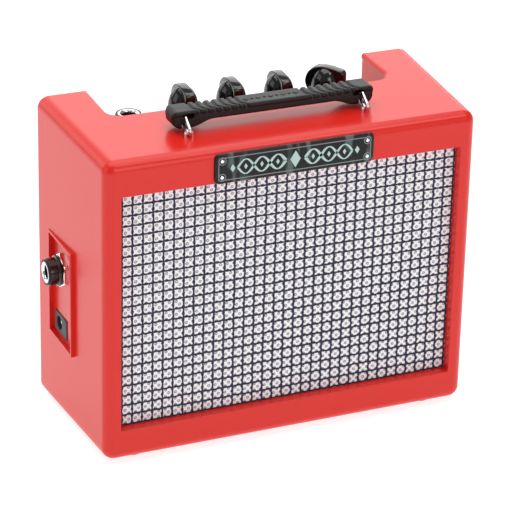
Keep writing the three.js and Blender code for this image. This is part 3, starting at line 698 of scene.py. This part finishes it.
def badge_face_material():
    """Glossy black with faint grey-green brush strokes across it."""
    n = Nodes("badge_face")
    mapping = n.add("ShaderNodeMapping", Vector=n.place())
    mapping.inputs["Scale"].default_value = (130.0, 1.0, 30.0)
    mapping.inputs["Rotation"].default_value = (0.0, 0.35, 0.0)
    strokes = n.noise(1.0, 3.0, 0.55, mapping.outputs["Vector"])
    patches = n.noise(60.0, 1.0, 0.4)
    faint = n.math("MULTIPLY", n.spread(strokes, 0.0, 1.0, 0.5, 0.56),
                   n.spread(patches, 0.0, 1.0, 0.42, 0.52))
    color = n.blend(n.math("MULTIPLY", faint, 0.9), (0.009, 0.007, 0.008, 1), (0.1, 0.135, 0.13, 1))
    return n.set(Base_Color=color, Roughness=n.spread(strokes, 0.22, 0.34), Specular_IOR_Level=0.25)


BADGE_EDGE = 0.6
BADGE_CORNER = 2.2
BADGE_FACE = 0.45
# The raised pieces start just under the face.
BADGE_FOOT = 0.46
RIVET_BEZEL = [(1.8, BADGE_FOOT), (1.75, 0.2), (1.45, 0.16), (1.4, BADGE_FOOT)]
RIVET_HEAD = [(0.85, BADGE_FOOT), (0.8, 0.25), (0.5, 0.1), (0.0, 0.05)]


def badge():
    low, high = inside("badge")
    front = low.y

    def ring(inset, y):
        corner = max(BADGE_CORNER - inset, 0.3)
        points = rounded_rectangle(low.x + inset, low.z + inset, high.x - inset, high.z - inset, corner, 8)
        return [(x, y, z) for x, z in points]

    rings = [ring(0, high.y)]
    rings += [ring(BADGE_EDGE * less, front + BADGE_FACE + BADGE_EDGE * more) for less, more in arc(5)]
    piece("badge_plate", *loft(rings), badge_face_material(), slot="badge_black", replaces=["badge"])
    border = []
    for inset, rise in ((1.45, 0.0), (1.5, 0.12), (1.85, 0.12), (1.9, 0.0)):
        border.append(ring(inset, front + BADGE_FOOT - rise))
    piece("badge_border", *loft(border, caps=False), DULL_SILVER, slot="badge_black")
    places = [(x, z) for x in (low.x + 3.2, high.x - 3.2) for z in (low.z + 3, high.z - 3)]
    for number, (x, z) in enumerate(places, start=1):
        bezel = lathe("y", (x, front, z), RIVET_BEZEL, 32)
        head = lathe("y", (x, front, z), RIVET_HEAD, 32)
        piece(f"badge_rivet_{number}_ring", *bezel, DULL_SILVER, slot="badge_black")
        piece(f"badge_rivet_{number}", *head, CHROME, slot="chrome")
    ornament(front + BADGE_FOOT)


def ribbon(points, widths, y, thickness=0.12):
    """A flat stroke along points in X and Z whose width changes."""
    left, right = [], []
    for i, (x, z) in enumerate(points):
        before = points[max(i - 1, 0)]
        after = points[min(i + 1, len(points) - 1)]
        direction = Vector((after[0] - before[0], after[1] - before[1])).normalized()
        side = Vector((-direction.y, direction.x)) * widths[i] / 2
        left.append((x + side.x, z + side.y))
        right.append((x - side.x, z - side.y))
    rings = []
    for (lx, lz), (rx, rz) in zip(left, right):
        rings.append([(lx, y, lz), (lx, y - thickness, lz), (rx, y - thickness, rz), (rx, y, rz)])
    return loft(rings)


WAVE_START, WAVE_LENGTH, WAVE_HEIGHT = 4.5, 22, 3.3


def ornament(y):
    """A plain ornament of waves and lozenges along the middle of the badge."""
    low, high = inside("badge")
    centre, middle = (low.x + high.x) / 2, (low.z + high.z) / 2
    strokes = []
    count = 48
    for side in (-1, 1):
        for phase in (0.0, math.pi):
            points, widths = [], []
            for i in range(count + 1):
                t = i / count
                x = centre + side * (WAVE_START + WAVE_LENGTH * t)
                points.append((x, middle + WAVE_HEIGHT * math.sin(3 * math.pi * t + phase)))
                widths.append(0.4 + 1.0 * abs(math.cos(3 * math.pi * t)) * (1 - 0.5 * t))
            strokes.append(ribbon(points, widths, y))
        for i in range(3):
            x = centre + side * (WAVE_START + WAVE_LENGTH / 3 * (i + 0.5))
            strokes.append(lozenge(x, middle, 1.1, y))
    strokes.append(lozenge(centre, middle, 3.2, y))
    for side in (-1, 1):
        strokes.append(lozenge(centre + side * 28.8, middle, 1.5, y))
    piece("badge_ornament", *joined(*strokes), PALE_TEAL, slot="badge_black")


def lozenge(x, z, size, y, thickness=0.12):
    ring = [(x, z - size * 1.2), (x + size * 0.75, z), (x, z + size * 1.2), (x - size * 0.75, z)]
    return loft([[(u, y, v) for u, v in ring], [(u, y - thickness, v) for u, v in ring]])


badge()


# ---------------------------------------------------------------- handle

GRIP_LOW, GRIP_HIGH = inside("handle_grip")
GRIP_X = (GRIP_LOW.x + GRIP_HIGH.x) / 2
GRIP_HALF = (GRIP_HIGH.x - GRIP_LOW.x) / 2
EYE_X = (centre_of("handle_eye_right").x - centre_of("handle_eye_left").x) / 2
GROOVE_PITCH = 3.6
GROOVE_START = 15.4
GROOVES = 7
NOSE = 4.2
SHOULDER = 2.4
PLAN_CORNER = 2.2
MIDDLE_BOTTOM = 145.1
MIDDLE_HALF = 28
LOBE_START = 38
BAR_HALF = 0.85
BAR_Y = GRIP_LOW.y + BAR_HALF
BAR_Z = 145.7
POCKET_DEPTH = 4.8


def smoothstep(low, high, value):
    t = min(1.0, max(0.0, (value - low) / (high - low)))
    return t * t * (3 - 2 * t)


def groove_depth(x, y):
    """How deep the grip is grooved. The grooves sweep sideways where they run over the front edge."""
    front = GRIP_LOW.y
    sweep_out = 2.2 * smoothstep(front + 3.4, front, y)
    depth = 0.0
    for side in (-1, 1):
        for i in range(GROOVES):
            middle = (GROOVE_START + GROOVE_PITCH * i) * side + sweep_out
            depth = max(depth, 1 - smoothstep(0.25, 1.15, abs(x - middle)))
    return 0.9 * depth


def grip_section(x):
    """The grip's cross-section at x from its middle, as a ring of points."""
    reach = GRIP_HALF - abs(x)
    rise = smoothstep(LOBE_START, MIDDLE_HALF, abs(x))
    bottom = GRIP_LOW.z + rise * (MIDDLE_BOTTOM - GRIP_LOW.z)
    top = GRIP_HIGH.z - 0.25 * smoothstep(40, 20, abs(x))
    if reach < NOSE:
        bottom += NOSE - math.sqrt(max(NOSE**2 - (NOSE - reach) ** 2, 0.0))
    if reach < SHOULDER:
        top -= SHOULDER - math.sqrt(max(SHOULDER**2 - (SHOULDER - reach) ** 2, 0.0))
    inset = 0.0
    if reach < PLAN_CORNER:
        inset = PLAN_CORNER - math.sqrt(max(PLAN_CORNER**2 - (PLAN_CORNER - reach) ** 2, 0.0))
    front, back = GRIP_LOW.y + inset, GRIP_HIGH.y - inset
    radius = min(0.9, (top - bottom) * 0.4)
    ring = []
    outline = rounded_rectangle(front, bottom, back, top, radius, 7)
    for y, z in dense(outline):
        ledge = smoothstep(top - 1.5, top - 1.9, z) * 0.4
        upper = smoothstep(top - 2.2, top - 1.3, z)
        groove = groove_depth(x, y) * upper
        middle = (front + back) / 2
        half = (back - front) / 2
        shrink = (ledge + groove * smoothstep(top - 0.2, top - 1.0, z) * 0.9) / half
        place = middle + (y - middle) * (1 - shrink)
        ring.append((GRIP_X + x, place, z - groove * smoothstep(top - 1.6, top, z)))
    return ring


def dense(outline, extra=10):
    """A rounded rectangle's outline with points added along its four straight sides."""
    per_corner = len(outline) // 4
    result = []
    for k, here in enumerate(outline):
        result.append(here)
        if (k + 1) % per_corner == 0:
            after = outline[(k + 1) % len(outline)]
            for i in range(1, extra):
                t = i / extra
                result.append((here[0] + (after[0] - here[0]) * t, here[1] + (after[1] - here[1]) * t))
    return result


def grip_stations():
    """Places along the grip: close together at the ends and over the grooves."""
    half = [0.0, 4.0, 8.0, 11.0]
    x = 12.4
    while x < 40.2:
        half.append(x)
        x += 0.225
    half += [40.6 + i for i in range(3)]
    half += [GRIP_HALF - NOSE * (1 - math.sin(math.pi / 2 * i / 14)) for i in range(15)]
    half[-1] = GRIP_HALF - 0.004
    return [-x for x in reversed(half) if x > 0] + half


def beside_eye(side, start, end):
    """Two X places, counted from an eye's middle and outwards along the grip."""
    return sorted(GRIP_X + (EYE_X + d) * side for d in (start, end))


def slot_cutter(side):
    """The slot through the front cheek over the bar, with round ends and an eased rim."""
    x0, x1 = beside_eye(side, -4.2, 1.1)
    z0, z1 = BAR_Z + BAR_HALF, GRIP_HIGH.z - 1.4

    def outline(margin):
        radius = (z1 - z0) / 2 + margin - 0.01
        points = rounded_rectangle(x0 - margin, z0 - margin, x1 + margin, z1 + margin, radius, 8)
        return [(z, x) for x, z in points]

    return flared_opening("y", outline, GRIP_LOW.y + 0.4, GRIP_LOW.y + 3, 0.35, -1)


def handle_grip():
    """The moulded grip, with a pocket, a slot and a notch round each link's bar."""
    rings = [grip_section(x) for x in grip_stations()]
    body = temporary(loft(rings))
    inner = GRIP_LOW.y + 2 * BAR_HALF
    steps = []
    for side in (-1, 1):
        x0, x1 = beside_eye(side, -6.2, 2.8)
        low, high = (x0, inner, GRIP_LOW.z - 2), (x1, inner + POCKET_DEPTH, GRIP_HIGH.z - 1.2)
        n0, n1 = beside_eye(side, -1.5, 1.5)
        notch = block((n0, GRIP_LOW.y - 2, GRIP_LOW.z - 2), (n1, inner + 1, BAR_Z - BAR_HALF), 0.5)
        for cutter in (block(low, high, 0.6), slot_cutter(side), notch):
            steps.append(("DIFFERENCE", cutter))
    grip = combine(body, steps)
    grip.name = "handle_moulding"
    settle(grip, GRIP_BLACK, "handle", ["handle_grip"], angle=50)
    grip_ornament()


def grip_ornament():
    """A raised band of plain lozenges on the flat middle of the grip."""
    top = GRIP_HIGH.z - 0.27
    middle = (GRIP_LOW.y + GRIP_HIGH.y) / 2
    shapes = []
    for i in range(-4, 5):
        size = 1.9 if i % 2 == 0 else 1.1
        x = GRIP_X + 2.9 * i
        ring = [(x - size * 0.8, middle), (x, middle - size), (x + size * 0.8, middle), (x, middle + size)]
        lower = [(u, v, top - 0.2) for u, v in ring]
        upper = [(x + (u - x) * 0.75, middle + (v - middle) * 0.75, top + 0.25) for u, v in ring]
        shapes.append(loft([lower, upper]))
    piece("handle_ornament", *joined(*shapes), GRIP_BLACK, "handle", "grip_black")


EYE_LOW, EYE_HIGH = inside("handle_eye_left")
EYE_WIRE = (EYE_HIGH.y - EYE_LOW.y) / 2
EYE_HALF_WIDTH = (EYE_HIGH.x - EYE_LOW.x) / 2 - EYE_WIRE
EYE_Y = (EYE_LOW.y + EYE_HIGH.y) / 2
EYE_Z = EYE_HIGH.z - EYE_WIRE
LINK_LOW, LINK_HIGH = inside("handle_link_left")
LINK_WIRE = (LINK_HIGH.x - LINK_LOW.x) / 2
LINK_EYE_BEND = 1.55
LINK_BAR_BEND = 2.1


def link_points(x):
    """The closed loop of a link, bent round its eye and round the grip's bar."""
    steps = 20
    eye = Vector((EYE_Y, EYE_Z))
    bar = Vector((BAR_Y, BAR_Z))
    lean = math.atan2(bar.y - eye.y, bar.x - eye.x)
    points = []
    for centre, turn, bend in ((eye, math.pi, LINK_EYE_BEND), (bar, 0.0, LINK_BAR_BEND)):
        for i in range(steps + 1):
            a = lean + turn - math.pi / 2 + math.pi * i / steps
            points.append((x, centre.x + bend * math.cos(a), centre.y + bend * math.sin(a)))
    return points


def handle_hardware():
    for side in ("left", "right"):
        x = centre_of(f"handle_eye_{side}").x
        points = [(x - EYE_HALF_WIDTH, EYE_Y, EYE_LOW.z)]
        for i in range(17):
            a = math.pi - math.pi * i / 16
            centre = EYE_Z - EYE_HALF_WIDTH
            points.append((x + EYE_HALF_WIDTH * math.cos(a), EYE_Y, centre + EYE_HALF_WIDTH * math.sin(a)))
        points.append((x + EYE_HALF_WIDTH, EYE_Y, EYE_LOW.z))
        eye = sweep(points, (0, 1, 0), EYE_WIRE)
        piece(f"eye_wire_{side}", *eye, CHROME, slot="chrome", replaces=[f"handle_eye_{side}"], angle=60)
        link = sweep(link_points(x), (1, 0, 0), LINK_WIRE, loop=True)
        piece(f"link_wire_{side}", *link, CHROME, body=f"link_{side}", slot="chrome",
              replaces=[f"handle_link_{side}"], angle=60)


handle_grip()
handle_hardware()


# ---------------------------------------------------------------- controls

KNOB_HEIGHT = 15.9
POWER_TURN = math.radians(45)
BEAK_REACH, TAIL_REACH = 9.4, 9.0
BLADE_HALF_WIDTH = 2.3
BLADE_EDGE = 0.55
KNOB_BORE, KNOB_BORE_DEPTH = 3.15, 11
BELL_FOOT, BELL_HEIGHT, BELL_RADIUS = 3.6, 11.9, 6.9


def bell_profile():
    """A turned skirt with a smooth bullet above it."""
    skirt = rounded([(0.0, 0.0), (8.0, 0.0), (8.0, 2.3), (7.2, 2.9), (BELL_RADIUS, BELL_FOOT)], 0.45)
    steps = 40
    bullet = []
    for i in range(1, steps):
        t = math.sin(math.pi / 2 * i / steps)
        bullet.append((BELL_RADIUS * math.sqrt(1 - t**2.5), BELL_FOOT + BELL_HEIGHT * t))
    return skirt + bullet + [(0.0, BELL_FOOT + BELL_HEIGHT)]


def blade_side(inset):
    """The blade seen from its side: (forward, up) points, moved inwards by inset."""
    edge = [(-TAIL_REACH, 2.6), (-TAIL_REACH, KNOB_HEIGHT - 1.5), (-3.0, KNOB_HEIGHT - 0.25),
            (2.0, KNOB_HEIGHT), (6.0, KNOB_HEIGHT - 1.3), (8.6, KNOB_HEIGHT - 4.2), (BEAK_REACH, 8.0),
            (BEAK_REACH - 0.6, 5.6), (6.8, 2.6)]
    sizes = [1.4, 1.9, 4.0, 4.0, 4.0, 4.0, 1.5, 1.5, 1.4]
    points = []
    for k, size in enumerate(sizes):
        points += corner_curve(edge[k - 1], edge[k], edge[(k + 1) % len(edge)], size, 0.48, 6)
    moved = []
    for k, here in enumerate(points):
        tangent = (points[(k + 1) % len(points)] - points[k - 1]).normalized()
        moved.append((here.x + tangent.y * inset, here.y - tangent.x * inset))
    return moved


def knob_parts(x, y, bottom, turn):
    """A pointer knob's bell and blade, its beak towards the back when turn is 0."""
    bell = lathe("z", (0, 0, 0), bell_profile(), 96)
    rings = []
    for side in (-1, 1):
        for less, more in arc(5)[::-side]:
            across = side * (BLADE_HALF_WIDTH - BLADE_EDGE * less)
            rings.append([(across, forward, up) for forward, up in blade_side(BLADE_EDGE * more)])
    blade = loft(rings)
    c, s = math.cos(turn), math.sin(turn)
    placed = []
    for vertices, faces in (bell, blade):
        placed.append(([(x + u * c - v * s, y + u * s + v * c, bottom + w) for u, v, w in vertices], faces))
    return placed


def knobs():
    for name in KNOBS:
        shaft = centre_of(f"{name}_shaft")
        low, _ = inside(f"{name}_knob")
        turn = POWER_TURN if name == "power" else 0.0
        bell, blade = knob_parts(shaft.x, shaft.y, low.z, turn)
        bore = drill("z", (shaft.x, shaft.y, 0), KNOB_BORE, low.z - 1, low.z + KNOB_BORE_DEPTH)
        knob = combine(temporary(bell), [("UNION", blade), ("DIFFERENCE", bore)])
        knob.name = f"{name}_pointer"
        settle(knob, GLOSS_BLACK, f"{name}_knob", [f"{name}_knob"], angle=38)


TICK_START, TICK_END, TICK_HALF_WIDTH = 8.9, 10.4, 0.22


def panel_print():
    """Scale marks round each knob on the panel, as thin paint."""
    marks = []
    for name in KNOBS:
        middle = centre_of(f"{name}_shaft")
        degrees = range(-150, 151, 30) if name != "power" else (-45, 0, 45)
        for a in (math.radians(d + 90) for d in degrees):
            out = Vector((math.cos(a), math.sin(a)))
            side = Vector((-out.y, out.x)) * TICK_HALF_WIDTH
            ring = []
            for r, s in ((TICK_START, -1), (TICK_END, -1), (TICK_END, 1), (TICK_START, 1)):
                p = Vector((middle.x, middle.y)) + out * r + side * s
                ring.append((p.x, p.y))
            marks.append(loft([[(u, v, PANEL_TOP - 0.02) for u, v in ring],
                               [(u, v, PANEL_TOP + 0.05) for u, v in ring]]))
    piece("panel_print", *joined(*marks), PRINT_BLACK, slot="gloss_black")


# Profiles of (radius, height above the face that the jack is screwed to).
JACK_COLLAR = [(5.2, 2.1), (6.9, 2.1), (6.9, 3.15), (6.1, 3.35), (6.1, 7.2), (5.72, 7.2), (5.2, 7.2)]
JACK_MOUTH = [(3.3, 6.6), (3.3, 7.3), (3.75, 7.95), (4.0, 8.15), (4.5, 8.2), (4.78, 8.05), (4.78, 6.6),
              (3.3, 6.6)]
JACK_BARREL = [(0, -6.5), (5.0, -6.5), (5.0, 7.2), (5.68, 7.2), (5.68, 8.0), (5.55, 8.15), (4.8, 8.15),
               (4.8, 7.2), (0, 7.2)]
JACK_BORE = [(0, -21.0), (3.2, -21.0), (3.2, 8.0), (0, 8.0)]


def jack(name, axis, face, centre, sign):
    """A jack's housing, nut, collar and plated mouth. sign is the way its mouth faces along the axis."""
    def turned(profile, sides=64):
        return lathe(axis, centre, [(r, face + sign * h) for r, h in profile], sides)

    collar = rounded(JACK_COLLAR, 0.3)
    collar.append(collar[0])
    piece(f"{name}_sleeve", *turned(collar), GLOSS_BLACK, slot="gloss_black", replaces=[f"{name}_collar"])
    piece(f"{name}_mouth", *turned(JACK_MOUTH), CHROME, slot="chrome")
    low, high = inside(name)
    inner = {"x": (POCKET_BACK_X + 0.4, high.x), "z": (low.z, RECESS_FLOOR - RECESS_SKIN - 0.4)}[axis]
    start = list(low)
    end = list(high)
    start["xyz".index(axis)], end["xyz".index(axis)] = inner
    steps = [("UNION", turned(JACK_BARREL, 48)), ("DIFFERENCE", turned(JACK_BORE, 48))]
    made = combine(temporary(block(start, end, 0.5)), steps)
    made.name = f"{name}_housing"
    settle(made, MATT_BLACK, "cabinet", [name], angle=35)
    nut(f"{name}_hexagon", axis, centre, face, sign, 14.2, 2.0, 5.2, [f"{name}_nut"])


def nut(name, axis, centre, face, sign, across, height, bore, replaces):
    """A hexagon nut whose corners are chamfered."""
    corner = across / math.sqrt(3)
    sides = 96
    rings = []
    chamfer = corner - across / 2
    levels = ((0.5, 0.0), (0.0, 0.3), (0.0, height - 0.75), (0.35, height - 0.35), (chamfer + 0.4, height))
    for inset, h in levels:
        ring = []
        for k in range(sides):
            a = 2 * math.pi * k / sides
            flat = (across / 2) / math.cos((a + math.pi / 6) % (math.pi / 3) - math.pi / 6)
            limit = corner - inset
            ring.append((min(flat, limit), a, h))
        rings.append(ring)
    for radius, h in ((bore + 0.3, height), (bore, height - 0.3), (bore, 0.0)):
        rings.append([(radius, 2 * math.pi * k / sides, h) for k in range(sides)])
    rings.append(rings[0])
    placed = [[along(axis, centre, r * math.cos(a), r * math.sin(a), face + sign * h) for r, a, h in ring]
              for ring in rings]
    piece(name, *loft(placed, caps=False), CHROME, slot="chrome", replaces=replaces, angle=25)


POWER_WELL_OFFSET = 2.0


def power_socket():
    """The supply's socket: a grey body with a round well off its middle, and a plated pin in it."""
    low, high = inside("power_socket")
    middle = (low + high) / 2
    body = temporary(block(tuple(low), tuple(high), 0.35))
    well = [(0, low.x - 1), (3.55, low.x - 1), (3.5, low.x + 0.02), (3.2, low.x + 0.35), (3.2, low.x + 9.5),
            (0, low.x + 9.5)]
    centre = (0, middle.y + POWER_WELL_OFFSET, middle.z)
    made = combine(body, [("DIFFERENCE", lathe("x", centre, well, 48))])
    made.name = "power_socket_body"
    settle(made, SOCKET_GREY, "cabinet", ["power_socket"], angle=35)
    pin = [(0, low.x + 0.9), (0.7, low.x + 0.95), (1.0, low.x + 1.4), (1.0, low.x + 9.8), (0, low.x + 9.8)]
    piece("power_socket_pin", *lathe("x", centre, pin, 32), CHROME, slot="chrome")


LED_RADIUS, LED_DOME, LED_RISE = 1.6, 1.5, 0.4


def power_led():
    low, high = inside("power_led")
    middle = (low + high) / 2
    shoulder = PANEL_TOP + LED_RISE
    dome = [(0, low.z), (LED_RADIUS, low.z), (LED_RADIUS, shoulder)]
    for i in range(1, 11):
        a = math.pi / 2 * i / 10
        dome.append((LED_RADIUS * math.cos(a), shoulder + LED_DOME * math.sin(a)))
    piece("led_lens", *lathe("z", (middle.x, middle.y, 0), dome, 40), LED_RED, slot="led_red",
          replaces=["power_led"])


INPUT = centre_of("input_jack_nut")
PHONES = centre_of("phones_jack_nut")
knobs()
panel_print()
jack("input_jack", "z", PANEL_TOP, (INPUT.x, INPUT.y, 0), 1)
jack("phones_jack", "x", POCKET_FLOOR_X, (0, PHONES.y, PHONES.z), -1)
power_socket()
power_led()


# ---------------------------------------------------------------- back, feet and screws

def cover_screws():
    for node in [n for n in frame["nodes"] if n.startswith("cover_screw")]:
        low, high = inside(node)
        middle = (low + high) / 2
        y = high.y
        head = [(0, y - 0.35), (1.9, y), (2.5, y - 0.25), (2.9, y - 0.8), (2.9, y - 1.3), (1.15, y - 1.4),
                (1.15, low.y), (0, low.y)]
        body = temporary(lathe("y", (middle.x, 0, middle.z), rounded(head, 0.25), 40))
        slots = []
        for wide, tall in ((1.7, 0.32), (0.32, 1.7)):
            slots.append(("DIFFERENCE", block((middle.x - wide, y - 0.95, middle.z - tall),
                                              (middle.x + wide, y + 1, middle.z + tall), 0.08)))
        screw = combine(body, slots)
        screw.name = f"{node}_head"
        settle(screw, STEEL, "cabinet", [node], angle=35)


def feet():
    for node in [n for n in frame["nodes"] if n.startswith("foot_")]:
        low, high = inside(node)
        middle = (low + high) / 2
        radius = (high.x - low.x) / 2
        profile = [(0, high.z), (radius, high.z), (radius, low.z), (radius - 1.5, low.z), (0, low.z)]
        pad = lathe("z", (middle.x, middle.y, 0), rounded(profile, 0.5), 48)
        piece(f"{node}_pad", *pad, RUBBER, slot="rubber", replaces=[node])


cover_screws()
feet()

LOOKS = {
    "cabinet_red": RED, "black_plastic": MATT_BLACK, "rubber": RUBBER, "battery_case": BATTERY_CASE,
    "grip_black": GRIP_BLACK, "gloss_black": GLOSS_BLACK, "badge_black": GLOSS_BLACK, "chrome": CHROME,
    "steel": STEEL, "led_red": LED_RED, "board_green": BOARD, "capacitor_sleeve": SLEEVE,
    "ferrite": FERRITE, "cone_paper": CONE_PAPER, "grille_cloth": MATT_BLACK,
}


EASED = {
    "back_panel": 0.3, "battery_door": 0.25, "battery_tray": 0.2, "battery": 1.2, "battery_snap": 0.6,
    "control_panel": 0.15, "gain_nut": 0.15, "volume_nut": 0.15, "tone_nut": 0.15, "power_nut": 0.15,
}


def paint_cad_nodes():
    """Gives each CAD node its material, and eases the sharp edges of those named in EASED."""
    slots = {row["node"]: row["material_slot"] for row in frame["record"]["subparts"]}
    for name, thing in frame["nodes"].items():
        look = PANEL_PLATE if name == "control_panel" else LOOKS[slots[name]]
        thing.data.materials.clear()
        thing.data.materials.append(look)
        if name in EASED:
            bevel = thing.modifiers.new("eased", "BEVEL")
            bevel.width = EASED[name] * MM
            bevel.segments = 3
            bevel.limit_method = "ANGLE"
            bevel.angle_limit = math.radians(40)
            bevel.harden_normals = True


paint_cad_nodes()


# ---------------------------------------------------------------- floor and light

FLOOR_HALF = 6.0
AIM = (0, 0, 0.07)
# name, place, width, height, watts
LIGHTS = (
    ("overhead", (0.0, 0.2, 1.5), 1.5, 1.5, 17),
    ("behind", (0.75, 1.9, 0.95), 2.4, 1.2, 16.5),
    ("behind_left", (-0.85, 1.75, 0.75), 1.4, 1.0, 6),
    ("left", (-1.7, 0.2, 0.8), 1.2, 1.2, 4.5),
    ("upper_front", (0.7, -0.75, 1.55), 0.35, 0.35, 2.5),
    ("front", (0.3, -1.8, 0.9), 0.9, 0.9, 7),
)


def floor():
    """A pale floor that glows a little, so that it stays even under the part."""
    corners = [(-1, -1), (1, -1), (1, 1), (-1, 1)]
    mesh = bpy.data.meshes.new("floor")
    mesh.from_pydata([(FLOOR_HALF * x, FLOOR_HALF * y, FLOOR_Z) for x, y in corners], [], [(0, 1, 2, 3)])
    ground = bpy.data.objects.new("floor", mesh)
    bpy.context.scene.collection.objects.link(ground)
    n = Nodes("floor")
    n.set(Base_Color=n.blend(n.noise(3.0), (0.44, 0.44, 0.44, 1), (0.47, 0.47, 0.47, 1)), Roughness=0.9)
    n.set(Specular_IOR_Level=0.1, Emission_Color=(1, 1, 1, 1), Emission_Strength=0.8)
    mesh.materials.append(n.material)


def area_light(name, place, width, height, watts):
    """A soft box that points at the part."""
    data = bpy.data.lights.new(name, "AREA")
    data.shape = "RECTANGLE"
    data.size = width
    data.size_y = height
    data.energy = watts
    light = bpy.data.objects.new(name, data)
    bpy.context.scene.collection.objects.link(light)
    light.location = place
    light.rotation_mode = "QUATERNION"
    light.rotation_quaternion = (Vector(AIM) - Vector(place)).to_track_quat("-Z", "Y")


def lights():
    """A dim white room with soft boxes overhead, behind, to the left and in front."""
    world = bpy.data.worlds.new("studio")
    bpy.context.scene.world = world
    world.use_nodes = True
    background = world.node_tree.nodes["Background"]
    background.inputs["Color"].default_value = (1, 1, 1, 1)
    background.inputs["Strength"].default_value = 0.3
    for light in LIGHTS:
        area_light(*light)
    bpy.context.scene.view_settings.view_transform = "Standard"


floor()
lights()
